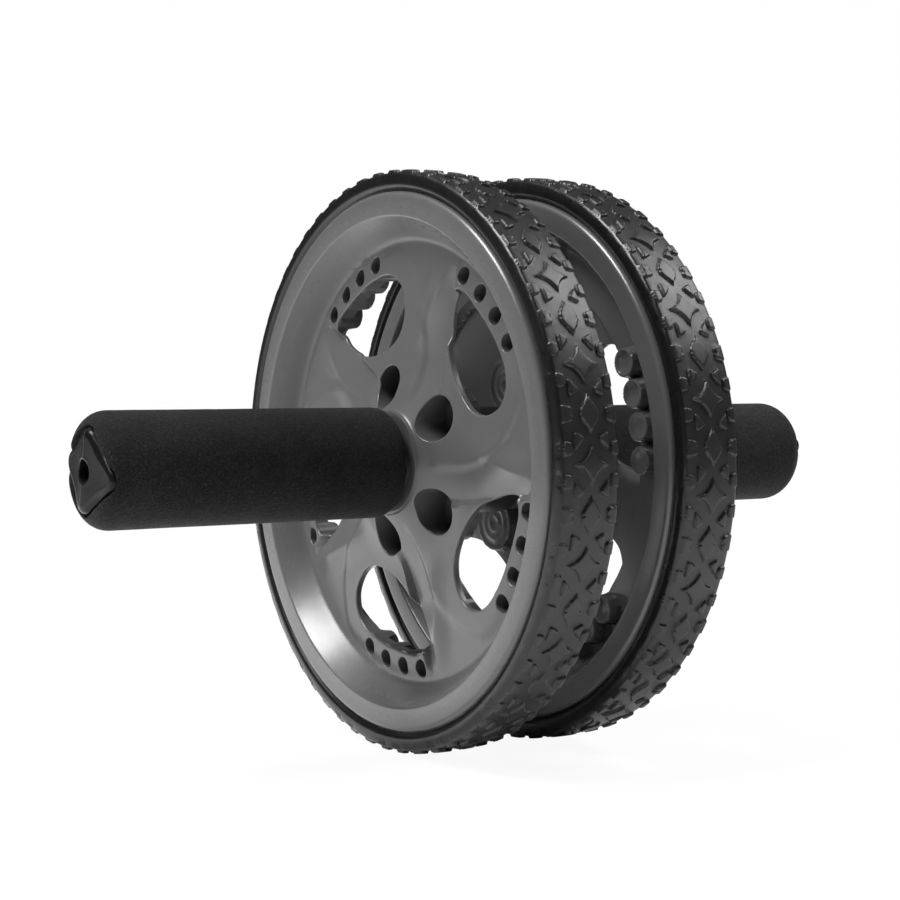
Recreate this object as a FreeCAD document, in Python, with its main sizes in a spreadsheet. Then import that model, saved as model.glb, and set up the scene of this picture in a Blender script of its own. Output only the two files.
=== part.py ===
# Double-wheel ab roller: two spoked wheels with tyres on one axle, a foam grip at each end.
# Millimetres. The axle runs along X, Z is up, and the floor under the tyres is Z = 0.
# Every turned piece is drawn about its own Z axis and laid onto the axle by its Placement.
import FreeCAD, Part
import math
import os
import Sketcher

Vector = FreeCAD.Vector

# Driving dimensions: name, value and what it is.
SIZES = (
    ("wheel_gap", 23.0, "clear distance between the two wheels' rims"),
    ("rim_dia", 169.0, "outer diameter of the rim flanges"),
    ("rim_width", 21.8, "width of the rim over both flanges"),
    ("flange_width", 2.0, "thickness of each rim flange"),
    ("seat_depth", 2.5, "depth of the tyre seat below the flange edge"),
    ("lip_width", 8.2, "width of the flat ring on each rim face"),
    ("lip_bevel", 0.8, "bevel at the inner edge of that ring"),
    ("bowl_run", 6.2, "radial run of the sloping wall below the ring"),
    ("web_thickness", 3.2, "thickness of the web between hub and rim"),
    ("dish_share", 0.484, "share of the rim's width beyond the web that lies outside the web"),
    ("collar_dia", 35.0, "diameter of the hub collar"),
    ("collar_recess", 1.0, "depth of the hub faces below the rim faces"),
    ("collar_flare", 1.4, "radial flare of the collar down to its foot"),
    ("collar_foot_share", 0.6, "depth of the collar's foot as a share of the dish's depth"),
    ("cone_margin", 1.56, "flat web left between the hub cone and the windows' inner edges"),
    ("spoke_count", 5, "spokes, windows and pockets in each wheel"),
    ("window_margin", 8.1, "web left between a window and the foot of the bowl"),
    ("window_inner_share", 0.622, "distance of the window's inner edge as a share of its outer radius"),
    ("window_low_share", 0.206, "inner edge to the trailing corner as a share of that radius"),
    ("window_high_share", 0.258, "inner edge to the leading bend as a share of that radius"),
    ("window_tip_angle", 39.4, "slope of the leading side beyond the bend, degrees"),
    ("window_foot_angle", 12.7, "slope of the trailing side, degrees"),
    ("window_corner_share", 0.125, "rounding of the trailing corners as a share of that radius"),
    ("window_tip_share", 0.073, "rounding of the leading tip as a share of that radius"),
    ("window_bend_share", 0.242, "rounding of the leading bend as a share of that radius"),
    ("pocket_place_share", 0.383, "radius on which the deep pockets lie as a share of that radius"),
    ("pocket_bore_share", 0.1195, "radius of a pocket's bore as a share of that radius"),
    ("pocket_wall", 1.9, "wall of the pocket's boss on the inner face"),
    ("pocket_boss_recess", 5.2, "boss end below the inner rim face"),
    ("pocket_floor", 2.0, "floor thickness of the pocket"),
    ("hole_dia", 5.5, "bore of the small blind holes"),
    ("hole_margin", 4.9, "web left between the row of small holes and the foot of the bowl"),
    ("hole_wall", 1.75, "wall of the small holes' bosses"),
    ("hole_boss_recess", 4.5, "boss end below the inner rim face"),
    ("hole_floor", 1.6, "floor thickness of the small holes"),
    ("hole_pitch_angle", 9.0, "angle between small holes, degrees"),
    ("hole_lead_angle", 12.5, "angle from a pocket to the middle of its row of holes, degrees"),
    ("left_wheel_angle", 35.2, "turn of the left wheel about the axle, degrees"),
    ("right_wheel_angle", 8.6, "turn of the right wheel about the axle, degrees"),
    ("tyre_height", 7.0, "top of the tread blocks above the rim flange"),
    ("tyre_inset", 0.4, "sidewall inside the rim's face"),
    ("tread_inset", 0.5, "edge of the tread inside the sidewall"),
    ("tread_depth", 1.1, "height of the tread blocks"),
    ("shoulder_height", 1.2, "height of the bevel from sidewall to tread"),
    ("bead_groove_depth", 0.9, "depth of the groove beside the rim flange"),
    ("bead_groove_width", 1.3, "height of that groove"),
    ("tread_repeats", 20, "repeats of the tread around the tyre"),
    ("left_tread_angle", 1.5, "turn of the left tread about the axle, degrees"),
    ("right_tread_angle", 5.1, "turn of the right tread about the axle, degrees"),
    ("axle_dia", 12.0, "axle rod"),
    ("running_gap", 0.05, "radial running clearance of the bushes on the axle"),
    ("seat_gap", 0.05, "radial assembly clearance of pieces that stay put"),
    ("thrust_gap", 0.3, "axial clearance between a hub and its thrust washer"),
    ("bush_wall", 2.5, "wall of the bushes"),
    ("bush_share", 0.404, "length of a bush as a share of the hub's length"),
    ("bush_flange_dia", 23.0, "flange of the bushes"),
    ("bush_flange", 1.5, "thickness of that flange"),
    ("washer_dia", 22.0, "thrust washers"),
    ("washer_thickness", 1.2, "thickness of the thrust washers"),
    ("spacer_dia", 34.2, "centre spacer"),
    ("spacer_bevel", 0.8, "bevel on the spacer's ends"),
    ("core_dia", 24.0, "handle core"),
    ("core_wall", 2.0, "wall of the core round the end cap's plug"),
    ("plug_spare", 0.8, "space between the end cap's plug and the end screw's head"),
    ("screw_wall", 4.0, "wall in the core that the end screw pulls on"),
    ("grip_dia", 34.6, "foam grip"),
    ("grip_length", 101.0, "length of the foam grip"),
    ("grip_end_round", 9.0, "rounding of the foam's free end"),
    ("grip_wheel_round", 4.5, "rounding of the foam's end at the wheel"),
    ("cap_overhang", 1.6, "reach of the end cap's corners beyond the core"),
    ("cap_side_share", 0.809, "middle of a side as a share of the distance to the corners"),
    ("cap_corner_round", 3.0, "rounding of the end cap's corners"),
    ("cap_edge_round", 1.5, "rounding of the end cap's front edge"),
    ("cap_thickness", 3.4, "thickness of the end cap's head"),
    ("cap_hole_dia", 8.0, "hole in the end cap"),
    ("cap_plug_depth", 3.2, "depth of the end cap's plug"),
    ("cap_plug_wall", 2.4, "wall of the end cap's plug"),
    ("cap_angle", 10.0, "turn of the end cap's corner below level, degrees"),
    ("screw_dia", 6.0, "shank of the end screw"),
    ("screw_reach", 16.0, "screw length inside the axle"),
    ("screw_hole_spare", 2.0, "spare depth of the tapped hole beyond the screw"),
    ("screw_head_dia", 10.0, "head of the end screw"),
    ("screw_head_height", 3.4, "height of that head"),
    ("screw_socket", 4.0, "width across the flats of the screw's socket"),
    ("screw_socket_depth", 2.2, "depth of the socket"),
    ("screw_clearance", 0.3, "radial clearance of the screw in the core's wall"),
    ("screw_washer_dia", 13.6, "washer under the end screw"),
    ("screw_washer_thickness", 1.2, "thickness of that washer"),
    ("overrun", 1.0, "how far a cutter passes the face that it cuts"),
)

# The tread's outlines, as shares of the pitch along the tread and of the tread's width across it.
STAR_SHARES = (0.20, 0.295)
STAR_WAIST_SHARE = 0.34
DIAMOND_SHARES = (0.187, 0.152)
DIAMOND_WAIST_SHARE = 0.45
LEAF_PLACE_SHARE = 0.237
LEAF_BASE_SHARES = (0.09, 0.28)
LEAF_TIP_SHARES = (0.03, 0.13)
LUG_PLACE_SHARES = (-0.162, 0.162, 0.5)
LUG_LENGTH_SHARES = (0.152, 0.152, 0.18)
LUG_DEPTH_SHARES = (0.15, 0.15, 0.19)
LUG_TAPER_SHARE = 0.74

# How near, as a share of its distance from the axis, an edge lies to the place where it is looked for.
NEAR_SHARE = 1e-5

# Places of the small holes in a row, in steps of their pitch from the row's middle.
HOLE_STEPS = (-1.5, -0.5, 0.5, 1.5)

SIDES = (("left", -1), ("right", 1))

doc = FreeCAD.newDocument("ab_roller")
sheet = doc.addObject("Spreadsheet::Sheet", "Sizes")
for row, (alias, value, note) in enumerate(SIZES, start=1):
    sheet.set(f"A{row}", str(value))
    sheet.setAlias(f"A{row}", alias)
    sheet.set(f"B{row}", note)
doc.recompute()

subparts = []


def size(alias):
    """The number in the sheet's cell of that name."""
    return float(getattr(sheet, alias))


def formula(text):
    """An expression on the sheet's cells: each word of the text names a cell."""
    words = [f"Sizes.{word}" if word.isidentifier() else word for word in text.split()]
    return " ".join(words)


def number(text):
    """The value of such an expression now."""
    return float(sheet.evalExpression(formula(text)))


def bind(item, name, text):
    item.setExpression(name, formula(text))


def plane(body, role):
    return next(feature for feature in body.Origin.OriginFeatures if feature.Role == role)


def new_body(label):
    body = doc.addObject("PartDesign::Body", label)
    body.Label = label
    return body


def new_sketch(body, role, suffix):
    sketch = body.newObject("Sketcher::SketchObject", f"{body.Label}_{suffix}")
    sketch.AttachmentSupport = [(plane(body, role), "")]
    sketch.MapMode = "FlatFace"
    return sketch


def pin_point(sketch, geometry, point, x_text, y_text):
    """Hold one point of a sketch at two expressions, or on an axis where one is zero."""
    for kind, text, axis in (("DistanceX", x_text, -2), ("DistanceY", y_text, -1)):
        if text == "0":
            sketch.addConstraint(Sketcher.Constraint("PointOnObject", geometry, point, axis))
            continue
        held = sketch.addConstraint(Sketcher.Constraint(kind, -1, 1, geometry, point, number(text)))
        bind(sketch, f"Constraints[{held}]", text)


def closed_outline(sketch, corners):
    """Straight lines through corners, each corner a pair of expressions."""
    spots = [Vector(number(x_text), number(y_text), 0) for x_text, y_text in corners]
    count = len(spots)
    for index in range(count):
        sketch.addGeometry(Part.LineSegment(spots[index], spots[(index + 1) % count]))
    for index in range(count):
        sketch.addConstraint(Sketcher.Constraint("Coincident", index, 2, (index + 1) % count, 1))
    for index, (x_text, y_text) in enumerate(corners):
        pin_point(sketch, index, 1, x_text, y_text)


def turned(label, profile):
    """A body turned about Z from a profile of (radius, height) expressions."""
    body = new_body(label)
    sketch = new_sketch(body, "XZ_Plane", "profile")
    closed_outline(sketch, profile)
    turn = body.newObject("PartDesign::Revolution", f"{label}_turned")
    turn.Profile = sketch
    turn.ReferenceAxis = (sketch, ["V_Axis"])
    turn.Angle = 360
    doc.recompute()
    return body


def ring_profile(inner, outer, low, high):
    return ((inner, low), (outer, low), (outer, high), (inner, high))


def circle_at(sketch, x_text, y_text, radius_text):
    spot = Vector(number(x_text), number(y_text), 0)
    geometry = sketch.addGeometry(Part.Circle(spot, Vector(0, 0, 1), number(radius_text)))
    pin_point(sketch, geometry, 3, x_text, y_text)
    held = sketch.addConstraint(Sketcher.Constraint("Radius", geometry, number(radius_text)))
    bind(sketch, f"Constraints[{held}]", radius_text)


def extruded(body, kind, sketch, suffix, length, upwards=False):
    """A pad or pocket from the sketch's plane, towards -Z unless it goes upwards."""
    feature = body.newObject(f"PartDesign::{kind}", f"{body.Label}_{suffix}")
    feature.Profile = sketch
    feature.Reversed = (kind == "Pad") != upwards
    bind(feature, "Length", length)
    doc.recompute()
    return feature


def round_about(body, originals, sketch, suffix):
    """Repeat features around the wheel, once for each spoke."""
    pattern = body.newObject("PartDesign::PolarPattern", f"{body.Label}_{suffix}")
    pattern.Originals = originals
    pattern.Axis = (sketch, ["N_Axis"])
    pattern.Angle = 360
    bind(pattern, "Occurrences", "spoke_count")
    body.Tip = pattern
    doc.recompute()


def fillet(body, edges, suffix, radius):
    """Round the named edges of the body as it stands."""
    before = body.Tip
    feature = body.newObject("PartDesign::Fillet", f"{body.Label}_{suffix}")
    feature.Base = (before, edges)
    bind(feature, "Radius", radius)
    body.Tip = feature
    doc.recompute()


def ring_edges(shape, radius, height):
    """Names of the circular edges about Z at one radius and height."""
    found = []
    for index, edge in enumerate(shape.Edges, start=1):
        if not isinstance(edge.Curve, Part.Circle):
            continue
        off = math.hypot(edge.Curve.Radius - radius, edge.Curve.Center.z - height)
        if off < NEAR_SHARE * radius:
            found.append(f"Edge{index}")
    return found


def upright_edges(shape, spots):
    """Names of the straight edges along Z that pass through the given places."""
    found = []
    for index, edge in enumerate(shape.Edges, start=1):
        if not isinstance(edge.Curve, Part.Line) or abs(edge.Curve.Direction.z) < 1 - NEAR_SHARE:
            continue
        middle = edge.CenterOfMass
        if any(math.dist((middle.x, middle.y), spot) < NEAR_SHARE * math.hypot(*spot) for spot in spots):
            found.append(f"Edge{index}")
    return found


def level_faces(shape, height):
    """Names of the flat faces at one height."""
    found = []
    for index, face in enumerate(shape.Faces, start=1):
        low, high = face.BoundBox.ZMin, face.BoundBox.ZMax
        if max(abs(low - height), abs(high - height)) < NEAR_SHARE * height:
            found.append(f"Face{index}")
    return found


def on_axle(item, side, along, spin=0.0):
    """Lay a piece on the axle: its own Z points outwards along X, at a distance from the middle."""
    turn = FreeCAD.Rotation(Vector(0, side, 0), Vector(0, 0, 1), Vector(side, 0, 0), "XYZ")
    spot = Vector(side * along, 0, number(TYRE_RADIUS))
    item.Placement = FreeCAD.Placement(spot, turn.multiply(FreeCAD.Rotation(Vector(0, 0, 1), spin)))
    subparts.append(item)


# Lengths that follow from the sizes.
FACE_RADIUS = "( rim_dia / 2 - lip_width - bowl_run )"
WINDOW_RADIUS = f"( {FACE_RADIUS} - window_margin )"
CONE_RADIUS = f"( window_inner_share * {WINDOW_RADIUS} - cone_margin )"
HOLE_RADIUS = f"( {FACE_RADIUS} - hole_margin )"
DISH_DEPTH = "( dish_share * ( rim_width - web_thickness ) )"
HUB_LENGTH = "( rim_width - 2 * collar_recess )"
TYRE_RADIUS = "( rim_dia / 2 + tyre_height )"
TYRE_HALF = "( rim_width / 2 - tyre_inset )"
TREAD_HALF = f"( {TYRE_HALF} - tread_inset )"
BUSH_LENGTH = f"( bush_share * {HUB_LENGTH} )"
PLUG_BORE = "( core_dia / 2 - core_wall )"
PLUG_BORE_DEPTH = "( screw_washer_thickness + screw_head_height + plug_spare + cap_plug_depth )"
CAP_CORNER = "( core_dia / 2 + cap_overhang )"
CAP_SIDE = f"( cap_side_share * {CAP_CORNER} )"

# Places along the axle, measured from the middle between the wheels.
WHEEL_MIDDLE = "( wheel_gap + rim_width ) / 2"
HUB_INNER = "wheel_gap / 2 + collar_recess"
HUB_OUTER = "wheel_gap / 2 + rim_width - collar_recess"
SPACER_END = f"{HUB_INNER} - thrust_gap - washer_thickness"
CORE_START = f"{HUB_OUTER} + thrust_gap + washer_thickness"
FOAM_INNER = "core_dia / 2 + seat_gap"
FOAM_FALL_RUN = f"( {FOAM_INNER} + grip_end_round - grip_dia / 2 )"
FOAM_FALL = f"( grip_end_round - sqrt( grip_end_round ^ 2 - {FOAM_FALL_RUN} ^ 2 ) )"
CORE_LENGTH = f"grip_length - {FOAM_FALL} + seat_gap"
CORE_END = f"{CORE_START} + {CORE_LENGTH}"
SCREW_SEAT = f"{CORE_END} - {PLUG_BORE_DEPTH}"
AXLE_END = f"{SCREW_SEAT} - screw_wall"


def make_axle():
    """Steel rod with a tapped hole in each end."""
    half = AXLE_END
    hole = "screw_dia / 2 + seat_gap"
    floor = f"{half} - screw_reach - screw_hole_spare"
    body = turned("axle_rod", (
        ("0", f"-1 * ( {floor} )"),
        (hole, f"-1 * ( {floor} )"),
        (hole, f"-1 * ( {half} )"),
        ("axle_dia / 2", f"-1 * ( {half} )"),
        ("axle_dia / 2", half),
        (hole, half),
        (hole, floor),
        ("0", floor),
    ))
    on_axle(body, 1, 0)


def make_spacer():
    """Sleeve that keeps the wheels apart."""
    inner = "axle_dia / 2 + seat_gap"
    outer = "spacer_dia / 2"
    body = turned("centre_spacer", (
        (inner, f"-1 * ( {SPACER_END} )"),
        (f"{outer} - spacer_bevel", f"-1 * ( {SPACER_END} )"),
        (outer, f"spacer_bevel - ( {SPACER_END} )"),
        (outer, f"{SPACER_END} - spacer_bevel"),
        (f"{outer} - spacer_bevel", SPACER_END),
        (inner, SPACER_END),
    ))
    on_axle(body, 1, 0)


def wheel_blank(label):
    """The wheel turned without its windows: hub, web, bowl and rim with its tyre seat."""
    bore = "axle_dia / 2 + running_gap + bush_wall + seat_gap"
    step = "bush_flange_dia / 2 + seat_gap"
    outer = "rim_width / 2"
    hub = f"{outer} - collar_recess"
    rebate = f"{hub} - bush_flange"
    lip = "rim_dia / 2 - lip_width"
    seat = "rim_dia / 2 - seat_depth"
    cheek = f"{outer} - flange_width"
    web_front = f"{outer} - {DISH_DEPTH}"
    web_back = f"{web_front} - web_thickness"
    return turned(label, (
        (bore, f"-1 * ( {rebate} )"),
        (step, f"-1 * ( {rebate} )"),
        (step, f"-1 * ( {hub} )"),
        ("collar_dia / 2", f"-1 * ( {hub} )"),
        ("collar_dia / 2", web_back),
        (FACE_RADIUS, web_back),
        (lip, f"-1 * ( {outer} - lip_bevel )"),
        (f"{lip} + lip_bevel", f"-1 * ( {outer} )"),
        ("rim_dia / 2", f"-1 * ( {outer} )"),
        ("rim_dia / 2", f"-1 * ( {cheek} )"),
        (seat, f"-1 * ( {cheek} )"),
        (seat, cheek),
        ("rim_dia / 2", cheek),
        ("rim_dia / 2", outer),
        (f"{lip} + lip_bevel", outer),
        (lip, f"{outer} - lip_bevel"),
        (FACE_RADIUS, web_front),
        (CONE_RADIUS, web_front),
        ("collar_dia / 2 + collar_flare", f"{outer} - collar_foot_share * {DISH_DEPTH}"),
        ("collar_dia / 2", hub),
        (step, hub),
        (step, rebate),
        (bore, rebate),
    ))


def meets_circle(start, angle, radius):
    """Where the line from start at an angle to X leaves a circle about the axle."""
    run = Vector(math.cos(angle), math.sin(angle), 0)
    ahead = start.dot(run)
    return start + run * (math.sqrt(ahead * ahead + radius * radius - start.dot(start)) - ahead)


def around(spot):
    """A place on the wheel repeated once for each spoke."""
    count = int(size("spoke_count"))
    turns = [FreeCAD.Rotation(Vector(0, 0, 1), 360 * step / count) for step in range(count)]
    return [tuple(turn.multVec(spot))[:2] for turn in turns]


def cut_windows(body):
    """The windows: a straight inner edge, two sloping sides and an arc, with rounded corners."""
    trail = (f"window_inner_share * {WINDOW_RADIUS}", f"-1 * window_low_share * {WINDOW_RADIUS}")
    bend = (f"window_inner_share * {WINDOW_RADIUS}", f"window_high_share * {WINDOW_RADIUS}")
    radius = number(WINDOW_RADIUS)
    trail_spot, bend_spot = [Vector(number(x_text), number(y_text), 0) for x_text, y_text in (trail, bend)]
    tip_spot = meets_circle(bend_spot, math.radians(size("window_tip_angle")), radius)
    foot_spot = meets_circle(trail_spot, -math.radians(size("window_foot_angle")), radius)
    sketch = new_sketch(body, "XY_Plane", "window")
    inner, tip, foot = [sketch.addGeometry(Part.LineSegment(*ends)) for ends in (
        (trail_spot, bend_spot), (bend_spot, tip_spot), (trail_spot, foot_spot))]
    arc = sketch.addGeometry(Part.Arc(foot_spot, Vector(radius, 0, 0), tip_spot))
    ends_met = ((inner, 2, tip, 1), (inner, 1, foot, 1), (arc, 1, foot, 2), (arc, 2, tip, 2), (arc, 3, -1, 1))
    for joined in ends_met:
        sketch.addConstraint(Sketcher.Constraint("Coincident", *joined))
    pin_point(sketch, inner, 1, *trail)
    pin_point(sketch, inner, 2, *bend)
    for kind, line, text in (("Radius", arc, WINDOW_RADIUS), ("Angle", tip, "window_tip_angle"),
                             ("Angle", foot, "-1 * window_foot_angle")):
        start_value = number(text) if kind == "Radius" else math.radians(number(text))
        held = sketch.addConstraint(Sketcher.Constraint(kind, line, start_value))
        bind(sketch, f"Constraints[{held}]", text)
    pocket = body.newObject("PartDesign::Pocket", f"{body.Label}_windows")
    pocket.Profile = sketch
    pocket.SideType = "Symmetric"
    bind(pocket, "Length", "rim_width")
    doc.recompute()
    round_about(body, [pocket], sketch, "window_ring")
    for name, spot, share in (("trail", trail_spot, "corner"), ("bend", bend_spot, "bend"),
                              ("tip", tip_spot, "tip"), ("foot", foot_spot, "corner")):
        edges = upright_edges(body.Tip.Shape, around(spot))
        fillet(body, edges, f"{name}_rounding", f"window_{share}_share * {WINDOW_RADIUS}")


def pocket_circles():
    """Place, bore and boss of the deep pocket of one spoke."""
    bore = f"pocket_bore_share * {WINDOW_RADIUS}"
    return [(f"pocket_place_share * {WINDOW_RADIUS}", "0")], bore, f"{bore} + pocket_wall"


def hole_circles():
    """Places, bore and boss of one row of small holes, spread about the row's middle."""
    angles = [f"( hole_lead_angle + hole_pitch_angle * {step} )" for step in HOLE_STEPS]
    spots = [(f"{HOLE_RADIUS} * cos{angle}", f"{HOLE_RADIUS} * sin{angle}") for angle in angles]
    return spots, "hole_dia / 2", "hole_dia / 2 + hole_wall"


def add_bosses(body):
    """Round bosses on the inner face, for the pockets and the small holes."""
    pads = []
    for name, (spots, _, boss) in (("pocket", pocket_circles()), ("hole", hole_circles())):
        sketch = new_sketch(body, "XY_Plane", f"{name}_boss_sketch")
        for spot in spots:
            circle_at(sketch, *spot, boss)
        pads.append(extruded(body, "Pad", sketch, f"{name}_boss", f"rim_width / 2 - {name}_boss_recess"))
    round_about(body, pads, sketch, "boss_ring")


def bore_bosses(body):
    """Blind bores into the bosses from the outer face."""
    bores = []
    for name, (spots, bore, _) in (("pocket", pocket_circles()), ("hole", hole_circles())):
        sketch = new_sketch(body, "XY_Plane", f"{name}_bore_sketch")
        bind(sketch, "AttachmentOffset.Base.z", "rim_width / 2")
        for spot in spots:
            circle_at(sketch, *spot, bore)
        depth = f"rim_width - {name}_boss_recess - {name}_floor"
        bores.append(extruded(body, "Pocket", sketch, f"{name}_bore", depth))
    round_about(body, bores, sketch, "bore_ring")


def make_wheel(side_name, side):
    """One moulded wheel, the same part on both sides, with its dished face outwards."""
    body = wheel_blank(f"{side_name}_wheel")
    cut_windows(body)
    add_bosses(body)
    bore_bosses(body)
    on_axle(body, side, number(WHEEL_MIDDLE), size(f"{side_name}_wheel_angle"))


def tyre_carcass():
    """The tyre's ring without tread blocks."""
    seat = number("rim_dia / 2 - seat_depth + seat_gap")
    edge = number("rim_dia / 2 + seat_gap")
    foot = number("rim_width / 2 - flange_width - seat_gap")
    side = number(TYRE_HALF)
    groove = side - size("bead_groove_depth")
    bead = edge + size("bead_groove_width")
    base = number(f"{TYRE_RADIUS} - tread_depth")
    half = ((seat, foot), (edge, foot), (edge, groove), (bead, groove), (bead, side),
            (base - size("shoulder_height"), side), (base, number(TREAD_HALF)))
    outline = [Vector(radius, 0, height) for radius, height in half]
    outline += [Vector(radius, 0, -height) for radius, height in reversed(half)]
    return Part.Face(Part.makePolygon(outline + outline[:1])).revolve(Vector(0, 0, 0), Vector(0, 0, 1), 360)


def four_point(shares, waist_share, pitch):
    """A four-pointed block outline whose sides are arcs that draw in between the points."""
    along, across = shares[0] * pitch, shares[1] * 2 * number(TREAD_HALF)
    points = [(along, 0), (0, across), (-along, 0), (0, -across)]
    edges = []
    for index in range(4):
        first, second = points[index], points[(index + 1) % 4]
        waist = [waist_share * (a + b) for a, b in zip(first, second)]
        edges.append(Part.Arc(*[Vector(0, *spot) for spot in (first, waist, second)]).toShape())
    return edges


def flat_block(points):
    corners = [Vector(0, along, across) for along, across in points]
    return Part.makePolygon(corners + corners[:1]).Edges


def leaf(way, edge, pitch, width):
    """A small three-cornered block with its tip towards the middle of the tread."""
    along, across = LEAF_BASE_SHARES[0] * pitch, edge * LEAF_BASE_SHARES[1] * width
    tip = (way * LEAF_TIP_SHARES[0] * pitch, edge * LEAF_TIP_SHARES[1] * width)
    return flat_block(((-along, across), (along, across), tip))


def lug(edge, length, depth, width):
    """A block at the tread's edge that narrows inwards."""
    half, taper = length / 2, LUG_TAPER_SHARE * length / 2
    outer, inner = edge * width / 2, edge * (width / 2 - depth)
    return flat_block(((-half, outer), (half, outer), (taper, inner), (-taper, inner)))


def tread_blocks(pitch):
    """Outlines of one repeat of the tread, each with its place as a share of the pitch."""
    width = 2 * number(TREAD_HALF)
    blocks = [(0, four_point(STAR_SHARES, STAR_WAIST_SHARE, pitch)),
              (0.5, four_point(DIAMOND_SHARES, DIAMOND_WAIST_SHARE, pitch))]
    for edge in (-1, 1):
        for way in (-1, 1):
            blocks.append((way * LEAF_PLACE_SHARE, leaf(way, edge, pitch, width)))
        for place, length_share, depth_share in zip(LUG_PLACE_SHARES, LUG_LENGTH_SHARES, LUG_DEPTH_SHARES):
            blocks.append((place, lug(edge, length_share * pitch, depth_share * width, width)))
    return blocks


def tyre_shape():
    """The ring with every tread block fused on and trimmed to the tyre's outer radius."""
    top = number(TYRE_RADIUS)
    root = top - size("tread_depth") - size("overrun")
    repeats = int(size("tread_repeats"))
    prisms = []
    for place, edges in tread_blocks(2 * math.pi * top / repeats):
        prism = Part.Face(Part.Wire(edges)).extrude(Vector(top + size("overrun") - root, 0, 0))
        prism.translate(Vector(root, 0, 0))
        for step in range(repeats):
            turned_prism = prism.copy()
            turned_prism.rotate(Vector(0, 0, 0), Vector(0, 0, 1), 360 * (step + place) / repeats)
            prisms.append(turned_prism)
    half = number(TYRE_HALF)
    trim = Part.makeCylinder(top, 2 * half, Vector(0, 0, -half))
    return tyre_carcass().multiFuse(prisms).common(trim)


def make_tyre(side_name, side, shape):
    tyre = doc.addObject("Part::Feature", f"{side_name}_tyre")
    tyre.Shape = shape.copy()
    on_axle(tyre, side, number(WHEEL_MIDDLE), size(f"{side_name}_tread_angle"))


def make_bushes(side_name, side):
    """Two flanged bushes in each hub, flanges outwards."""
    inner = "axle_dia / 2 + running_gap"
    outer = f"{inner} + bush_wall"
    for name, facing, along in (("inner", -1, HUB_INNER), ("outer", 1, HUB_OUTER)):
        body = turned(f"{side_name}_{name}_bush", (
            (inner, f"-1 * {BUSH_LENGTH}"),
            (outer, f"-1 * {BUSH_LENGTH}"),
            (outer, "-1 * bush_flange"),
            ("bush_flange_dia / 2", "-1 * bush_flange"),
            ("bush_flange_dia / 2", "0"),
            (inner, "0"),
        ))
        on_axle(body, side * facing, facing * number(along))


def make_washers(side_name, side):
    """Thrust washers between each hub and the spacer or the handle."""
    for name, start in (("inner", SPACER_END), ("outer", f"{HUB_OUTER} + thrust_gap")):
        profile = ring_profile("axle_dia / 2 + seat_gap", "washer_dia / 2", "0", "washer_thickness")
        on_axle(turned(f"{side_name}_{name}_washer", profile), side, number(start))


def make_core(side_name, side):
    """Stiff tube under the foam, with the wall that the end screw pulls on and the bore for the end cap."""
    bore = "axle_dia / 2 + seat_gap"
    seat = f"{CORE_LENGTH} - {PLUG_BORE_DEPTH}"
    shank = "screw_dia / 2 + screw_clearance"
    body = turned(f"{side_name}_handle_core", (
        (bore, "0"),
        ("core_dia / 2", "0"),
        ("core_dia / 2", CORE_LENGTH),
        (PLUG_BORE, CORE_LENGTH),
        (PLUG_BORE, seat),
        (shank, seat),
        (shank, f"{seat} - screw_wall"),
        (bore, f"{seat} - screw_wall"),
    ))
    on_axle(body, side, number(CORE_START))


def make_grip(side_name, side):
    """Foam sleeve, rounded at both ends before its bore is cut."""
    outer = "grip_dia / 2"
    body = turned(f"{side_name}_grip", (("0", "0"), (outer, "0"), (outer, "grip_length"), ("0", "grip_length")))
    for suffix, height in (("end", size("grip_length")), ("wheel", 0)):
        edges = ring_edges(body.Shape, size("grip_dia") / 2, height)
        fillet(body, edges, f"{suffix}_rounding", f"grip_{suffix}_round")
    sketch = new_sketch(body, "XY_Plane", "bore_sketch")
    bind(sketch, "AttachmentOffset.Base.z", "grip_length + overrun")
    circle_at(sketch, "0", "0", FOAM_INNER)
    extruded(body, "Pocket", sketch, "bore", "grip_length + 2 * overrun")
    on_axle(body, side, number(CORE_START))


def cap_outline(sketch):
    """Four corners joined by arcs that bulge outwards."""
    back = f"-1 * {CAP_CORNER}"
    corners = ((CAP_CORNER, "0"), ("0", CAP_CORNER), (back, "0"), ("0", back))
    spots = [Vector(number(x_text), number(y_text), 0) for x_text, y_text in corners]
    sag = f"( {CAP_CORNER} ^ 2 - {CAP_SIDE} ^ 2 )"
    swell = f"{CAP_SIDE} + {sag} / 2 / ( {CAP_SIDE} - {CAP_CORNER} / sqrt( 2 ) )"
    count = len(spots)
    for index, spot in enumerate(spots):
        after = spots[(index + 1) % count]
        middle = (spot + after).normalize() * number(CAP_SIDE)
        sketch.addGeometry(Part.Arc(spot, middle, after))
    for index in range(count):
        sketch.addConstraint(Sketcher.Constraint("Coincident", index, 2, (index + 1) % count, 1))
    for index, (x_text, y_text) in enumerate(corners):
        pin_point(sketch, index, 1, x_text, y_text)
        held = sketch.addConstraint(Sketcher.Constraint("Radius", index, number(swell)))
        bind(sketch, f"Constraints[{held}]", swell)
    return [tuple(spot)[:2] for spot in spots]


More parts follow.
